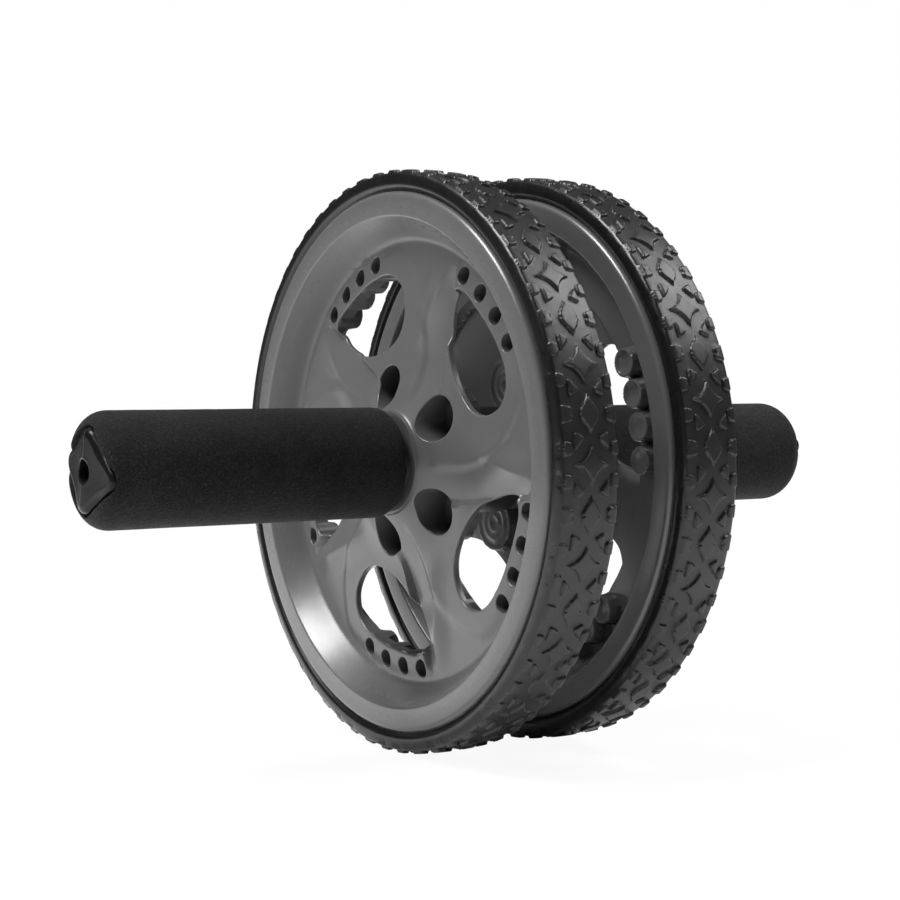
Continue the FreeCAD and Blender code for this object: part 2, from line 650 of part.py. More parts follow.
def make_cap(side_name, side):
    """End cap: a rounded four-cornered head with a hole, and a plug that enters the core."""
    body = new_body(f"{side_name}_end_cap")
    sketch = new_sketch(body, "XY_Plane", "head_sketch")
    corners = cap_outline(sketch)
    extruded(body, "Pad", sketch, "head", "cap_thickness", upwards=True)
    fillet(body, upright_edges(body.Shape, corners), "corner_rounding", "cap_corner_round")
    fillet(body, level_faces(body.Shape, size("cap_thickness")), "edge_rounding", "cap_edge_round")
    plug = new_sketch(body, "XY_Plane", "plug_sketch")
    plug_outer = f"{PLUG_BORE} - seat_gap"
    for radius in (plug_outer, f"{plug_outer} - cap_plug_wall"):
        circle_at(plug, "0", "0", radius)
    extruded(body, "Pad", plug, "plug", "cap_plug_depth")
    hole = new_sketch(body, "XY_Plane", "hole_sketch")
    bind(hole, "AttachmentOffset.Base.z", "cap_thickness + overrun")
    circle_at(hole, "0", "0", "cap_hole_dia / 2")
    extruded(body, "Pocket", hole, "hole", "cap_thickness + 2 * overrun")
    on_axle(body, side, number(CORE_END), -size("cap_angle"))


def make_screw(side_name, side):
    """End screw with a hexagon socket, and the washer under its head."""
    shank = "-1 * ( screw_washer_thickness + screw_wall + screw_reach )"
    body = turned(f"{side_name}_end_screw", (
        ("0", shank),
        ("screw_dia / 2", shank),
        ("screw_dia / 2", "0"),
        ("screw_head_dia / 2", "0"),
        ("screw_head_dia / 2", "screw_head_height"),
        ("0", "screw_head_height"),
    ))
    sketch = new_sketch(body, "XY_Plane", "socket_sketch")
    bind(sketch, "AttachmentOffset.Base.z", "screw_head_height")
    reach = "screw_socket / sqrt( 3 )"
    rise = "screw_socket / 2"
    closed_outline(sketch, (
        (reach, "0"),
        (f"{reach} / 2", rise),
        (f"-1 * {reach} / 2", rise),
        (f"-1 * {reach}", "0"),
        (f"-1 * {reach} / 2", f"-1 * {rise}"),
        (f"{reach} / 2", f"-1 * {rise}"),
    ))
    extruded(body, "Pocket", sketch, "socket", "screw_socket_depth")
    on_axle(body, side, number(f"{SCREW_SEAT} + screw_washer_thickness"))
    hole = "screw_dia / 2 + screw_clearance"
    profile = ring_profile(hole, "screw_washer_dia / 2", "0", "screw_washer_thickness")
    on_axle(turned(f"{side_name}_screw_washer", profile), side, number(SCREW_SEAT))


def export_subparts():
    """Write every sub-part, once all of them are sound."""
    faulty = [item.Label for item in doc.Objects if {"Invalid", "Error"} & set(item.State)]
    if faulty:
        raise RuntimeError(f"these did not compute: {faulty}")
    os.makedirs("parts", exist_ok=True)
    for item in subparts:
        shape = item.Shape
        if shape.isNull() or not shape.isValid() or len(shape.Solids) != 1:
            raise RuntimeError(f"{item.Label} is not one sound solid")
    for item in subparts:
        item.Shape.exportStep(f"parts/{item.Label}.step")


make_axle()
make_spacer()
tread = tyre_shape()
for side_name, side in SIDES:
    make_wheel(side_name, side)
    make_tyre(side_name, side, tread)
    make_bushes(side_name, side)
    make_washers(side_name, side)
    make_core(side_name, side)
    make_grip(side_name, side)
    make_cap(side_name, side)
    make_screw(side_name, side)
doc.recompute()
export_subparts()
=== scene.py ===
import math
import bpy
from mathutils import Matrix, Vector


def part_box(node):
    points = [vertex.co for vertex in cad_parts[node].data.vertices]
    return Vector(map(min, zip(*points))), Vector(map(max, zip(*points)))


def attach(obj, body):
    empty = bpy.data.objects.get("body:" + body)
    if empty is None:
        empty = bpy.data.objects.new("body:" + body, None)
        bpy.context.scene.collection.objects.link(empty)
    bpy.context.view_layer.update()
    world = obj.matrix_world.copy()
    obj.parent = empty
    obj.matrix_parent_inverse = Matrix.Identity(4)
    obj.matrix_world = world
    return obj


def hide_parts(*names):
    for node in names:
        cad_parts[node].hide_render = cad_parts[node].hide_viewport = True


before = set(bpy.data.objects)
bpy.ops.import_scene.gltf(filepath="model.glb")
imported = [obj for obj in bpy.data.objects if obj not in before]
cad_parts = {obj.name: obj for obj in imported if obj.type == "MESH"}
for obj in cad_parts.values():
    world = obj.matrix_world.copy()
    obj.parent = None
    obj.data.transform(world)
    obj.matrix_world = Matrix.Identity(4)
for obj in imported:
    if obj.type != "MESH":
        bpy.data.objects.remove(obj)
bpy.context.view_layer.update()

from types import SimpleNamespace

import bmesh
import bpy
import numpy as np
from bpy.props import FloatProperty, FloatVectorProperty, IntProperty, PointerProperty
from mathutils import Matrix, Vector, noise
from mathutils.geometry import delaunay_2d_cdt

bl_info = {
    "name": "Ab roller",
    "version": (1, 0, 0),
    "blender": (4, 5, 0),
    "location": "3D View > Sidebar > Roller",
    "description": "Dresses the solids of a two-wheel ab roller: wheels, tyres, foam grips and end caps",
    "category": "Object",
}

MM = 0.001
SIDES = (("left", -1), ("right", 1))


def half_width(node, axis):
    low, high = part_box(node)
    return (high[axis] - low[axis]) / 2


def middle(node):
    low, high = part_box(node)
    return (low + high) / 2


AXLE_HEIGHT = middle("left_wheel").z
WHEEL_PLACE = abs(middle("left_wheel").x)


def length(name, description, default):
    """A size in metres, given here in millimetres."""
    return FloatProperty(name=name, description=description, default=default * MM, unit="LENGTH", precision=5)


def power(name, description, watts):
    return FloatProperty(name=name, description=description, default=watts, unit="POWER")


def angle(name, description, degrees):
    return FloatProperty(name=name, description=description, default=math.radians(degrees), subtype="ANGLE")


def colour(name, description, red, green, blue):
    return FloatVectorProperty(name=name, description=description, default=(red, green, blue), subtype="COLOR",
                               size=3, min=0.0, max=1.0)


class RollerWheelSizes(bpy.types.PropertyGroup):
    """Sizes of the moulded wheels."""
    rim_radius: length("Rim radius", "Radius of the rim's flanges", half_width("left_wheel", 2) / MM)
    rim_half: length("Rim half width", "Half of the rim's width", half_width("left_wheel", 0) / MM)
    lip_width: length("Lip", "Width of the flat ring on each rim face, to the bowl", 7.6)
    lip_round: length("Lip rounding", "Rounding of the ring's outer edge", 1.9)
    lip_inner_round: length("Inner lip rounding", "Rounding of the ring's inner edge", 1.0)
    bowl_radius: length("Bowl foot", "Radius where the bowl meets the web", 70.1)
    web_front: length("Web front", "Front of the web, out from the wheel's middle", 1.9)
    web_thick: length("Web thickness", "Thickness of the web between front and back", 1.4)
    collar_radius: length("Collar", "Radius of the hub collar", 16.5)
    collar_top: length("Collar top", "End of the collar, out from the wheel's middle", 9.9)
    window_scale: FloatProperty(name="Window scale", description="Size of the windows", default=1.0)
    flare_radius: length("Flare", "Radius where the flared hub runs out into the web", 37.0)
    flare_rise: length("Flare rise", "Rise of the flared hub from the web to the collar", 6.8)
    window_round: length("Window rounding", "Rounding of the windows' front edges", 0.45)
    pocket_place: length("Pocket place", "Radius on which the deep pockets lie", 24.4)
    pocket_radius: length("Pocket", "Radius of the pockets", 7.1)
    hole_place: length("Hole place", "Radius on which the small holes lie", 65.2)
    hole_radius: length("Hole", "Radius of the small holes", 2.75)
    pad_rise: length("Pad rise", "Height of the pad round each window above the spokes", 0.8)
    valley_depth: length("Valley depth", "Depth of the valley beside each window's leading side", 2.1)
    left_turn: angle("Left turn", "Turn of the left wheel about the axle", 35.2)
    right_turn: angle("Right turn", "Turn of the right wheel about the axle", 8.6)


class RollerTyreSizes(bpy.types.PropertyGroup):
    """Sizes of the tyres and their tread."""
    top_radius: length("Tread top", "Radius over the tread blocks", half_width("left_tyre", 2) / MM)
    half: length("Half width", "Half of the tyre's width", half_width("left_tyre", 0) / MM)
    block_height: length("Block height", "Height of the tread blocks", 0.85)
    flat_half: length("Tread half width", "Half width of the tread, to the shoulder", 9.1)
    shoulder: length("Shoulder", "Fall of the rounded shoulder from tread to sidewall", 2.5)
    crown: length("Crown", "Fall of the tread from its middle to its edges", 0.5)
    repeats: IntProperty(name="Repeats", description="Repeats of the tread round the tyre", default=20, min=8)
    left_turn: angle("Left turn", "Turn of the left tread about the axle", 1.5)
    right_turn: angle("Right turn", "Turn of the right tread about the axle", 5.1)


class RollerGripSizes(bpy.types.PropertyGroup):
    """Sizes of the foam grips."""
    radius: length("Grip radius", "Radius of the foam", half_width("left_grip", 2) / MM)
    bore: length("Bore", "Radius of the bore on the handle core", 12.05)
    end_round: length("End rounding", "Rounding of the free end", 6.8)
    wheel_round: length("Wheel rounding", "Rounding of the end at the wheel", 4.5)
    swell: length("Swell", "Largest unevenness of the foam's surface", 0.12)
    shrink: length("Shrink", "Length by which the foam is drawn in round the end cap", 0.6)


class RollerCapSizes(bpy.types.PropertyGroup):
    """Sizes of the end caps."""
    corner: length("Corner", "Distance of the upper and lower corners from the axle", 12.6)
    stretch: FloatProperty(name="Stretch", description="Width over height of the outline", default=1.26)
    corner_round: length("Corner rounding", "Rounding of the four corners", 3.6)
    sink: length("Sink", "Depth of the crest below the solid cap's end, pressed into the foam", 3.0)
    height: length("Height", "Height of the crest above the core's end", 3.4)
    fall: length("Fall", "Fall of the faces from the crest to the side corners", 2.4)
    edge_round: length("Edge rounding", "Rounding of the front edge", 2.2)
    hole: length("Hole", "Radius of the centre hole", 3.4)
    turn: angle("Turn", "Turn of the corners below level", 10.0)


class RollerColours(bpy.types.PropertyGroup):
    """Colours of the finishes."""
    wheel: colour("Wheel", "Moulded plastic of the wheels", 0.064, 0.064, 0.0653)
    tread: colour("Tread", "Rubber of the tread", 0.0095, 0.0095, 0.0098)
    sidewall: colour("Sidewall", "Rubber of the sidewalls", 0.0045, 0.0045, 0.0047)
    foam: colour("Foam", "Foam of the grips", 0.0042, 0.0042, 0.0044)
    cap: colour("Cap", "Gloss plastic of the end caps", 0.004, 0.004, 0.0042)
    spacer: colour("Spacer", "Satin plastic of the spacer and handle cores", 0.016, 0.016, 0.0165)
    bush: colour("Bush", "Plastic of the bushes", 0.08, 0.08, 0.082)
    steel: colour("Steel", "Plated steel of the axle, washers and screws", 0.45, 0.45, 0.46)
    floor: colour("Floor", "Floor and backdrop", 0.92, 0.92, 0.92)


class RollerStageSizes(bpy.types.PropertyGroup):
    """Lights and camera."""
    left_softbox: power("Left light", "Power of the softbox over the left grip", 48.0)
    right_softbox: power("Right light", "Power of the softbox over the right grip", 6.5)
    top_softbox: power("Top light", "Power of the large softbox overhead", 3.0)
    left_fill: power("Left fill", "Power of the distant softbox off the left grip", 26.0)
    right_fill: power("Right fill", "Power of the distant softbox off the right grip", 18.0)
    room: FloatProperty(name="Room light", description="Strength of the even light around", default=0.06)
    lens: FloatProperty(name="Lens", description="Focal length of the camera", default=74.905, unit="CAMERA")


def in_mm(sizes):
    """The lengths of a group in millimetres, by name."""
    known = sizes.bl_rna.properties
    return SimpleNamespace(**{name: getattr(sizes, name) / MM for name in sizes.__annotations__
                              if known[name].unit == "LENGTH"})


class Tap:
    """A socket in a finish that takes part in sums: each sum adds a Math node."""

    def __init__(self, finish, socket):
        self.finish = finish
        self.socket = socket

    def sum(self, operation, first, second=0.0):
        return self.finish.node("ShaderNodeMath", {"operation": operation}, {0: first, 1: second})

    def __add__(self, other):
        return self.sum("ADD", self, other)

    def __radd__(self, other):
        return self.sum("ADD", other, self)

    def __sub__(self, other):
        return self.sum("SUBTRACT", self, other)

    def __rsub__(self, other):
        return self.sum("SUBTRACT", other, self)

    def __mul__(self, other):
        return self.sum("MULTIPLY", self, other)

    def __rmul__(self, other):
        return self.sum("MULTIPLY", other, self)

    def __abs__(self):
        return self.sum("ABSOLUTE", self)

    def above(self, start, end):
        """0 below start, 1 above end and smooth between."""
        return self.finish.node("ShaderNodeMapRange", {"interpolation_type": "SMOOTHSTEP"},
                                {"Value": self, "From Min": start, "From Max": end})


class Finish:
    """The nodes of a material, or of the world, while they are made."""

    def __init__(self, owner, output="ShaderNodeOutputMaterial"):
        self.owner = owner
        owner.use_nodes = True
        self.tree = owner.node_tree
        self.tree.nodes.clear()
        self.out = self.tree.nodes.new(output)

    def node(self, kind, settings=None, values=None, output=0):
        """Add a node: its settings first, then the values or links of its sockets."""
        made = self.tree.nodes.new(kind)
        for name, value in (settings or {}).items():
            setattr(made, name, value)
        for key, value in (values or {}).items():
            if isinstance(value, Tap):
                self.tree.links.new(value.socket, made.inputs[key])
            else:
                made.inputs[key].default_value = value
        return Tap(self, made.outputs[output])

    def places(self):
        """Places on the piece in its own frame, in metres."""
        return self.node("ShaderNodeTexCoord", output="Object")

    def stretched(self, where, scale):
        """Places with their three parts scaled one by one."""
        return self.node("ShaderNodeVectorMath", {"operation": "MULTIPLY"}, {0: where, 1: scale})

    def along(self, where, axis):
        """Distance of places along an axis."""
        return self.node("ShaderNodeVectorMath", {"operation": "DOT_PRODUCT"}, {0: where, 1: axis}, "Value")

    def grain(self, where, size_mm, detail=3.0, rough=0.55, distort=0.0):
        """Noise between 0 and 1 whose spots have about that size."""
        values = {"Vector": where, "Scale": 1 / (size_mm * MM), "Detail": detail, "Roughness": rough,
                  "Distortion": distort}
        return self.node("ShaderNodeTexNoise", {"noise_dimensions": "3D"}, values, "Fac")

    def cells(self, where, size_mm):
        """Distance from the nearest of many scattered spots, in cells of about that size."""
        return self.node("ShaderNodeTexVoronoi", {"feature": "F1"},
                         {"Vector": where, "Scale": 1 / (size_mm * MM)})

    def mark(self):
        """The mark that the mesh carries at its corners."""
        return self.node("ShaderNodeAttribute", {"attribute_name": "mark"}, output="Fac")

    def blend(self, factor, first, second):
        """Mix two colours."""
        paint = [part if isinstance(part, Tap) else (*part, 1.0) for part in (first, second)]
        return self.node("ShaderNodeMix", {"data_type": "RGBA"}, {0: factor, 6: paint[0], 7: paint[1]}, 2)

    def bump(self, height, depth_mm):
        return self.node("ShaderNodeBump", None,
                         {"Height": height, "Distance": depth_mm * MM, "Strength": 1.0})

    def surface(self, shader):
        """Make a shader the surface."""
        self.tree.links.new(shader.socket, self.out.inputs["Surface"])
        return self.owner

    def done(self, **values):
        """Feed the shader and return the material."""
        named = {name.replace("_", " ").title().replace("Ior", "IOR"): value
                 for name, value in values.items()}
        return self.surface(self.node("ShaderNodeBsdfPrincipled", None, named))


def finish_named(name):
    return Finish(bpy.data.materials.new(name))


def shade(paint, factor):
    """A colour made lighter or darker."""
    return tuple(min(1.0, part * factor) for part in paint)


def wheel_plastic(paint):
    """Satin moulded plastic: a fine spark-eroded grain, slow changes of tone, edges paler as polished wear and
    as a painted highlight, and painted shade in the pockets and holes.
    """
    finish = finish_named("wheel_plastic")
    where = finish.places()
    mark = finish.mark()
    worn, deep = mark.above(0.0, 1.0), mark.above(0.0, -1.0)
    fine = finish.grain(where, 0.35, detail=4.0, rough=0.7)
    broad = finish.grain(where, 24.0, detail=3.0)
    flow = finish.grain(where, 7.0, detail=5.0, rough=0.6, distort=0.6)
    tone = broad * 0.6 + flow * 0.4
    tint = finish.blend(tone, shade(paint, 0.9), shade(paint, 1.1))
    # Rounded edges of the lips, windows, pockets and holes are lightened: partly wear, partly a painted
    # highlight line.
    tint = finish.blend((fine - 0.5) * 0.25 + worn * 0.45, tint, shade(paint, 1.5))
    # Painted shade: the walls and floors of the pockets and small holes, marked -1, are darkened towards black.
    tint = finish.blend(deep * 0.75, tint, shade(paint, 0.3))
    rough = 0.31 + (flow - 0.5) * 0.08 + (fine - 0.5) * 0.12 - worn * 0.06
    normal = finish.bump(fine + flow * 0.4, 0.012)
    return finish.done(base_color=tint, roughness=rough, normal=normal, specular_ior_level=0.5)


def tyre_rubber(tread, sidewall):
    """Moulded rubber: a satin tread with scuffs and specks, and darker smooth sidewalls."""
    finish = finish_named("tyre_rubber")
    where = finish.places()
    block = finish.mark()
    on_tread = abs(finish.along(where, (0.0, 0.0, 1.0))).above(9.45 * MM, 9.15 * MM)
    fine = finish.grain(where, 0.5, detail=4.0, rough=0.7)
    patch = finish.grain(where, 9.0, detail=4.0, rough=0.6, distort=0.4)
    speck = finish.cells(where, 2.6).above(0.09, 0.03) * on_tread
    tint = finish.blend(on_tread, sidewall, tread)
    tint = finish.blend((patch * 0.5 + block * 0.25) * on_tread, tint, shade(tread, 1.5))
    tint = finish.blend(speck * 0.5, tint, shade(tread, 3.0))
    rough = 0.3 + (patch - 0.5) * 0.16 + (fine - 0.5) * 0.12 + on_tread * 0.1
    normal = finish.bump(fine * 0.5 + patch * 0.5 + speck * 0.4, 0.04)
    return finish.done(base_color=tint, roughness=rough, normal=normal, specular_ior_level=0.36)


def grip_foam(paint):
    """Ground foam: open pores, a soft nap and a few pale specks."""
    finish = finish_named("grip_foam")
    where = finish.places()
    pores = finish.cells(where, 0.55)
    coarse = finish.grain(where, 1.1, detail=5.0, rough=0.75)
    broad = finish.grain(where, 16.0, detail=2.0)
    fleck = finish.cells(where, 3.4).above(0.075, 0.03)
    tone = pores * 0.5 + coarse * 0.6 + (broad - 0.5) * 0.3
    tint = finish.blend(tone.above(0.42, 0.76), shade(paint, 0.25), shade(paint, 2.6))
    tint = finish.blend(fleck * 0.35, tint, shade(paint, 22.0))
    normal = finish.bump(pores * 0.6 + coarse, 0.24)
    return finish.done(base_color=tint, roughness=0.93 - coarse * 0.12, normal=normal, specular_ior_level=0.2,
                       sheen_weight=0.03, sheen_roughness=0.5)


def cap_plastic(paint):
    """Gloss moulded plastic with faint flow lines, fine scratches, edges paler as wear and painted highlight,
    and a painted highlight line along the crest.
    """
    finish = finish_named("cap_plastic")
    where = finish.places()
    worn = finish.mark()
    flow = finish.grain(where, 5.0, detail=4.0, rough=0.6, distort=0.8)
    scratch = finish.grain(finish.stretched(where, (0.12, 1.0, 1.0)), 0.35, detail=2.0).above(0.62, 0.8)
    crest = abs(finish.along(where, (1.0, 0.0, 0.0))).above(0.2 * MM, 0.08 * MM)
    # Rounded edges are paler: partly wear, partly painted highlight.
    tint = finish.blend(flow * 0.5 + worn * 0.4, shade(paint, 0.7), shade(paint, 1.6))
    # Painted highlight: a thin pale line along the crest.
    tint = finish.blend(crest * 0.8, tint, shade(paint, 12.0))
    rough = 0.25 + (flow - 0.5) * 0.12 + scratch * 0.1
    normal = finish.bump(flow * 0.6 - scratch * 0.35 + crest, 0.02)
    return finish.done(base_color=tint, roughness=rough, normal=normal, specular_ior_level=0.12)


def satin_plastic(name, paint, rough):
    """Turned or moulded plastic with a fine grain and slow changes of gloss."""
    finish = finish_named(name)
    where = finish.places()
    fine = finish.grain(where, 0.4, detail=4.0, rough=0.7)
    broad = finish.grain(where, 8.0, detail=3.0)
    tint = finish.blend(fine * 0.4 + broad * 0.6, shade(paint, 0.75), shade(paint, 1.35))
    normal = finish.bump(fine, 0.02)
    return finish.done(base_color=tint, roughness=rough + (broad - 0.5) * 0.14, normal=normal,
                       specular_ior_level=0.45)


def plated_steel(paint):
    """Zinc-plated steel: turning marks round the axle and clouded plating."""
    finish = finish_named("plated_steel")
    where = finish.places()
    lines = finish.grain(finish.stretched(where, (1.0, 0.06, 0.06)), 0.3, detail=3.0)
    cloud = finish.grain(where, 3.0, detail=4.0)
    tint = finish.blend(lines * 0.5 + cloud * 0.5, shade(paint, 0.8), shade(paint, 1.2))
    normal = finish.bump(lines, 0.01)
    return finish.done(base_color=tint, metallic=1.0, roughness=0.26 + cloud * 0.16, normal=normal)


class Skin:
    """Corners and faces of one piece in millimetres, gathered part by part and welded where they meet."""

    def __init__(self):
        self.corners = []
        self.marks = []
        self.faces = []
        self.count = 0

    def add(self, corners, faces, marks=0.0):
        corners = np.asarray(corners, float).reshape(-1, 3)
        self.corners.append(corners)
        self.marks.append(np.broadcast_to(np.asarray(marks, float), len(corners)))
        self.faces += [tuple(number + self.count for number in face) for face in faces]
        self.count += len(corners)

    def net(self, rows, marks=0.0, closed=False):
        """Quads between rows of corners, each row closed on itself or open."""
        rows = np.asarray(rows, float)
        high, wide = rows.shape[:2]
        faces = []
        for low in range(0, (high - 1) * wide, wide):
            for step in range(wide if closed else wide - 1):
                after = (step + 1) % wide
                faces.append((low + step, low + after, low + wide + after, low + wide + step))
        if np.ndim(marks):
            marks = np.repeat(np.asarray(marks, float), wide)
        self.add(rows, faces, marks)

    def strip(self, rows):
        """Quads round a strip given as closed rows, each with its mark."""
        self.net(*zip(*rows), closed=True)

    def repeated(self, turns):
        """This skin copied at several turns about Z."""
        corners, marks = np.vstack(self.corners), np.concatenate(self.marks)
        whole = Skin()
        for turn in turns:
            cos, sin = math.cos(turn), math.sin(turn)
            whole.add(corners @ np.array(((cos, sin, 0), (-sin, cos, 0), (0, 0, 1))), self.faces, marks)
        return whole

    def mesh(self, name, crease=math.radians(38)):
        """The welded mesh in metres, smooth except at edges sharper than the crease."""
        made = bpy.data.meshes.new(name)
        made.from_pydata(np.vstack(self.corners) * MM, [], self.faces)
        layer = made.attributes.new("mark", "FLOAT", "POINT")
        layer.data.foreach_set("value", np.concatenate(self.marks).astype(np.float32))
        work = bmesh.new()
        work.from_mesh(made)
        bmesh.ops.remove_doubles(work, verts=work.verts, dist=0.004 * MM)
        bmesh.ops.dissolve_degenerate(work, edges=work.edges, dist=0.001 * MM)
        bmesh.ops.recalc_face_normals(work, faces=work.faces)
        work.to_mesh(made)
        work.free()
        made.shade_smooth()
        made.set_sharp_from_angle(angle=crease)
        return made


def smooth(value):
    """0 at 0 and below, 1 at 1 and above, with level ends."""
    value = np.clip(value, 0.0, 1.0)
    return value * value * (3 - 2 * value)


def swung(points, turn):
    cos, sin = math.cos(turn), math.sin(turn)
    return np.asarray(points, float) @ np.array(((cos, sin), (-sin, cos)))


def fade(value, start, run):
    """0 up to the start and 1 after the run, with level ends."""
    return smooth((value - start) / run)


def around(count):
    """Equal turns of a full round."""
    return np.arange(count) * 2 * math.pi / count


def ways(turns):
    """Directions at turns from the X axis."""
    return np.stack((np.cos(turns), np.sin(turns)), -1)


def ring(radius, count, centre):
    return centre + radius * ways(around(count))


def raised(places, height):
    """Flat places lifted to one height, or each to its own."""
    return np.column_stack((places, np.broadcast_to(height, len(places))))


def rounded_path(corners, steps=6):
    """A path through (x, y, rounding) corners, each rounding an arc of short steps."""
    spots = [np.array(corner[:2], float) for corner in corners]
    path = [spots[0]]
    for before, spot, after, (_, _, rounding) in zip(spots, spots[1:], spots[2:], corners[1:]):
        if not rounding:
            path.append(spot)
            continue
        back, ahead = [(way - spot) / np.linalg.norm(way - spot) for way in (before, after)]
        opening = math.acos(np.clip(back @ ahead, -1, 1))
        reach = rounding / math.tan(opening / 2)
        bisector = (back + ahead) / np.linalg.norm(back + ahead)
        centre = spot + bisector * rounding / math.sin(opening / 2)
        first, last = spot + back * reach - centre, spot + ahead * reach - centre
        swing = math.pi - opening
        for part in np.linspace(0, 1, steps + 1):
            arc = first * math.sin((1 - part) * swing) + last * math.sin(part * swing)
            path.append(centre + arc / math.sin(swing))
    path.append(spots[-1])
    return np.array(path)


def spun(path, turns):
    """Rows of corners: a (radius, height) path laid out at each turn about Z."""
    radius, height = np.asarray(path, float).T
    rows = [np.stack((radius * math.cos(turn), radius * math.sin(turn), height), -1) for turn in turns]
    return np.swapaxes(np.array(rows), 0, 1)


def thinned(points, taken, gap):
    """Those points that keep a gap from the taken ones and from each other."""
    kept, cells = [], {}

    def cell(point):
        return int(point[0] // gap), int(point[1] // gap)

    def crowded(point):
        column, row = cell(point)
        return any((other[0] - point[0]) ** 2 + (other[1] - point[1]) ** 2 < gap * gap
                   for left in (-1, 0, 1) for low in (-1, 0, 1)
                   for other in cells.get((column + left, row + low), ()))

    for point in taken:
        cells.setdefault(cell(point), []).append(point)
    for point in points:
        if not crowded(point):
            cells.setdefault(cell(point), []).append(point)
            kept.append(point)
    return np.array(kept).reshape(-1, 2)


def inside(points, loop):
    """Which points lie within a closed loop."""
    x, y = points[:, 0, None], points[:, 1, None]
    first, second = loop, np.roll(loop, -1, axis=0)
    crossing = (first[:, 1] > y) != (second[:, 1] > y)
    rise = np.where(second[:, 1] == first[:, 1], 1e-12, second[:, 1] - first[:, 1])
    at = first[:, 0] + (y - first[:, 1]) / rise * (second[:, 0] - first[:, 0])
    return (crossing & (x < at)).sum(1) % 2 == 1


def distance(points, loop):
    """Distance of points from a closed loop, less than zero inside it."""
    first = loop[None]
    run = np.roll(loop, -1, axis=0)[None] - first
    away = points[:, None] - first
    part = np.clip((away * run).sum(-1) / np.maximum((run * run).sum(-1), 1e-12), 0, 1)
    found = np.linalg.norm(away - run * part[..., None], axis=-1).min(1)
    return np.where(inside(points, loop), -found, found)


def filled(boundary, cuts, points, gap):
    """Triangles over a flat area: its boundary and cuts stay edges, the points are spread inside."""
    loops = [boundary, *cuts]
    fixed = np.vstack(loops)
    points = thinned(points[distance(points, boundary) < -max(gap, 0.25)], fixed, gap)
    for cut in cuts:
        points = points[~inside(points, cut)]
    edges, start = [], 0
    for loop in loops:
        count = len(loop)
        edges += [(start + step, start + (step + 1) % count) for step in range(count)]
        start += count
    spots = [Vector(point) for point in np.vstack((fixed, points))]
    corners, _, faces, *_ = delaunay_2d_cdt(spots, edges, [], 0, 1e-5)
    corners = np.array(corners)
    faces = np.array([face for face in faces if len(face) == 3])
    centres = corners[faces].mean(1)
    first, second = [corners[faces[:, number]] - corners[faces[:, 0]] for number in (1, 2)]
    area = np.abs(first[:, 0] * second[:, 1] - first[:, 1] * second[:, 0])
    keep = inside(centres, boundary) & (area > 0.001)
    for cut in cuts:
        keep &= ~inside(centres, cut)
    return corners, faces[keep]


def evenly(loop, step):
    """A closed loop resampled at equal steps."""
    closed = np.vstack((loop, loop[:1]))
    run = np.concatenate(((0.0,), np.cumsum(np.linalg.norm(np.diff(closed, axis=0), axis=1))))
    places = np.linspace(0, run[-1], round(run[-1] / step), endpoint=False)
    return np.stack([np.interp(places, run, closed[:, axis]) for axis in (0, 1)], -1)


def smoothed(loop, passes):
    """A closed loop with its corners softened."""
    for _ in range(passes):
        loop = loop * 0.5 + (np.roll(loop, 1, axis=0) + np.roll(loop, -1, axis=0)) * 0.25
    return loop


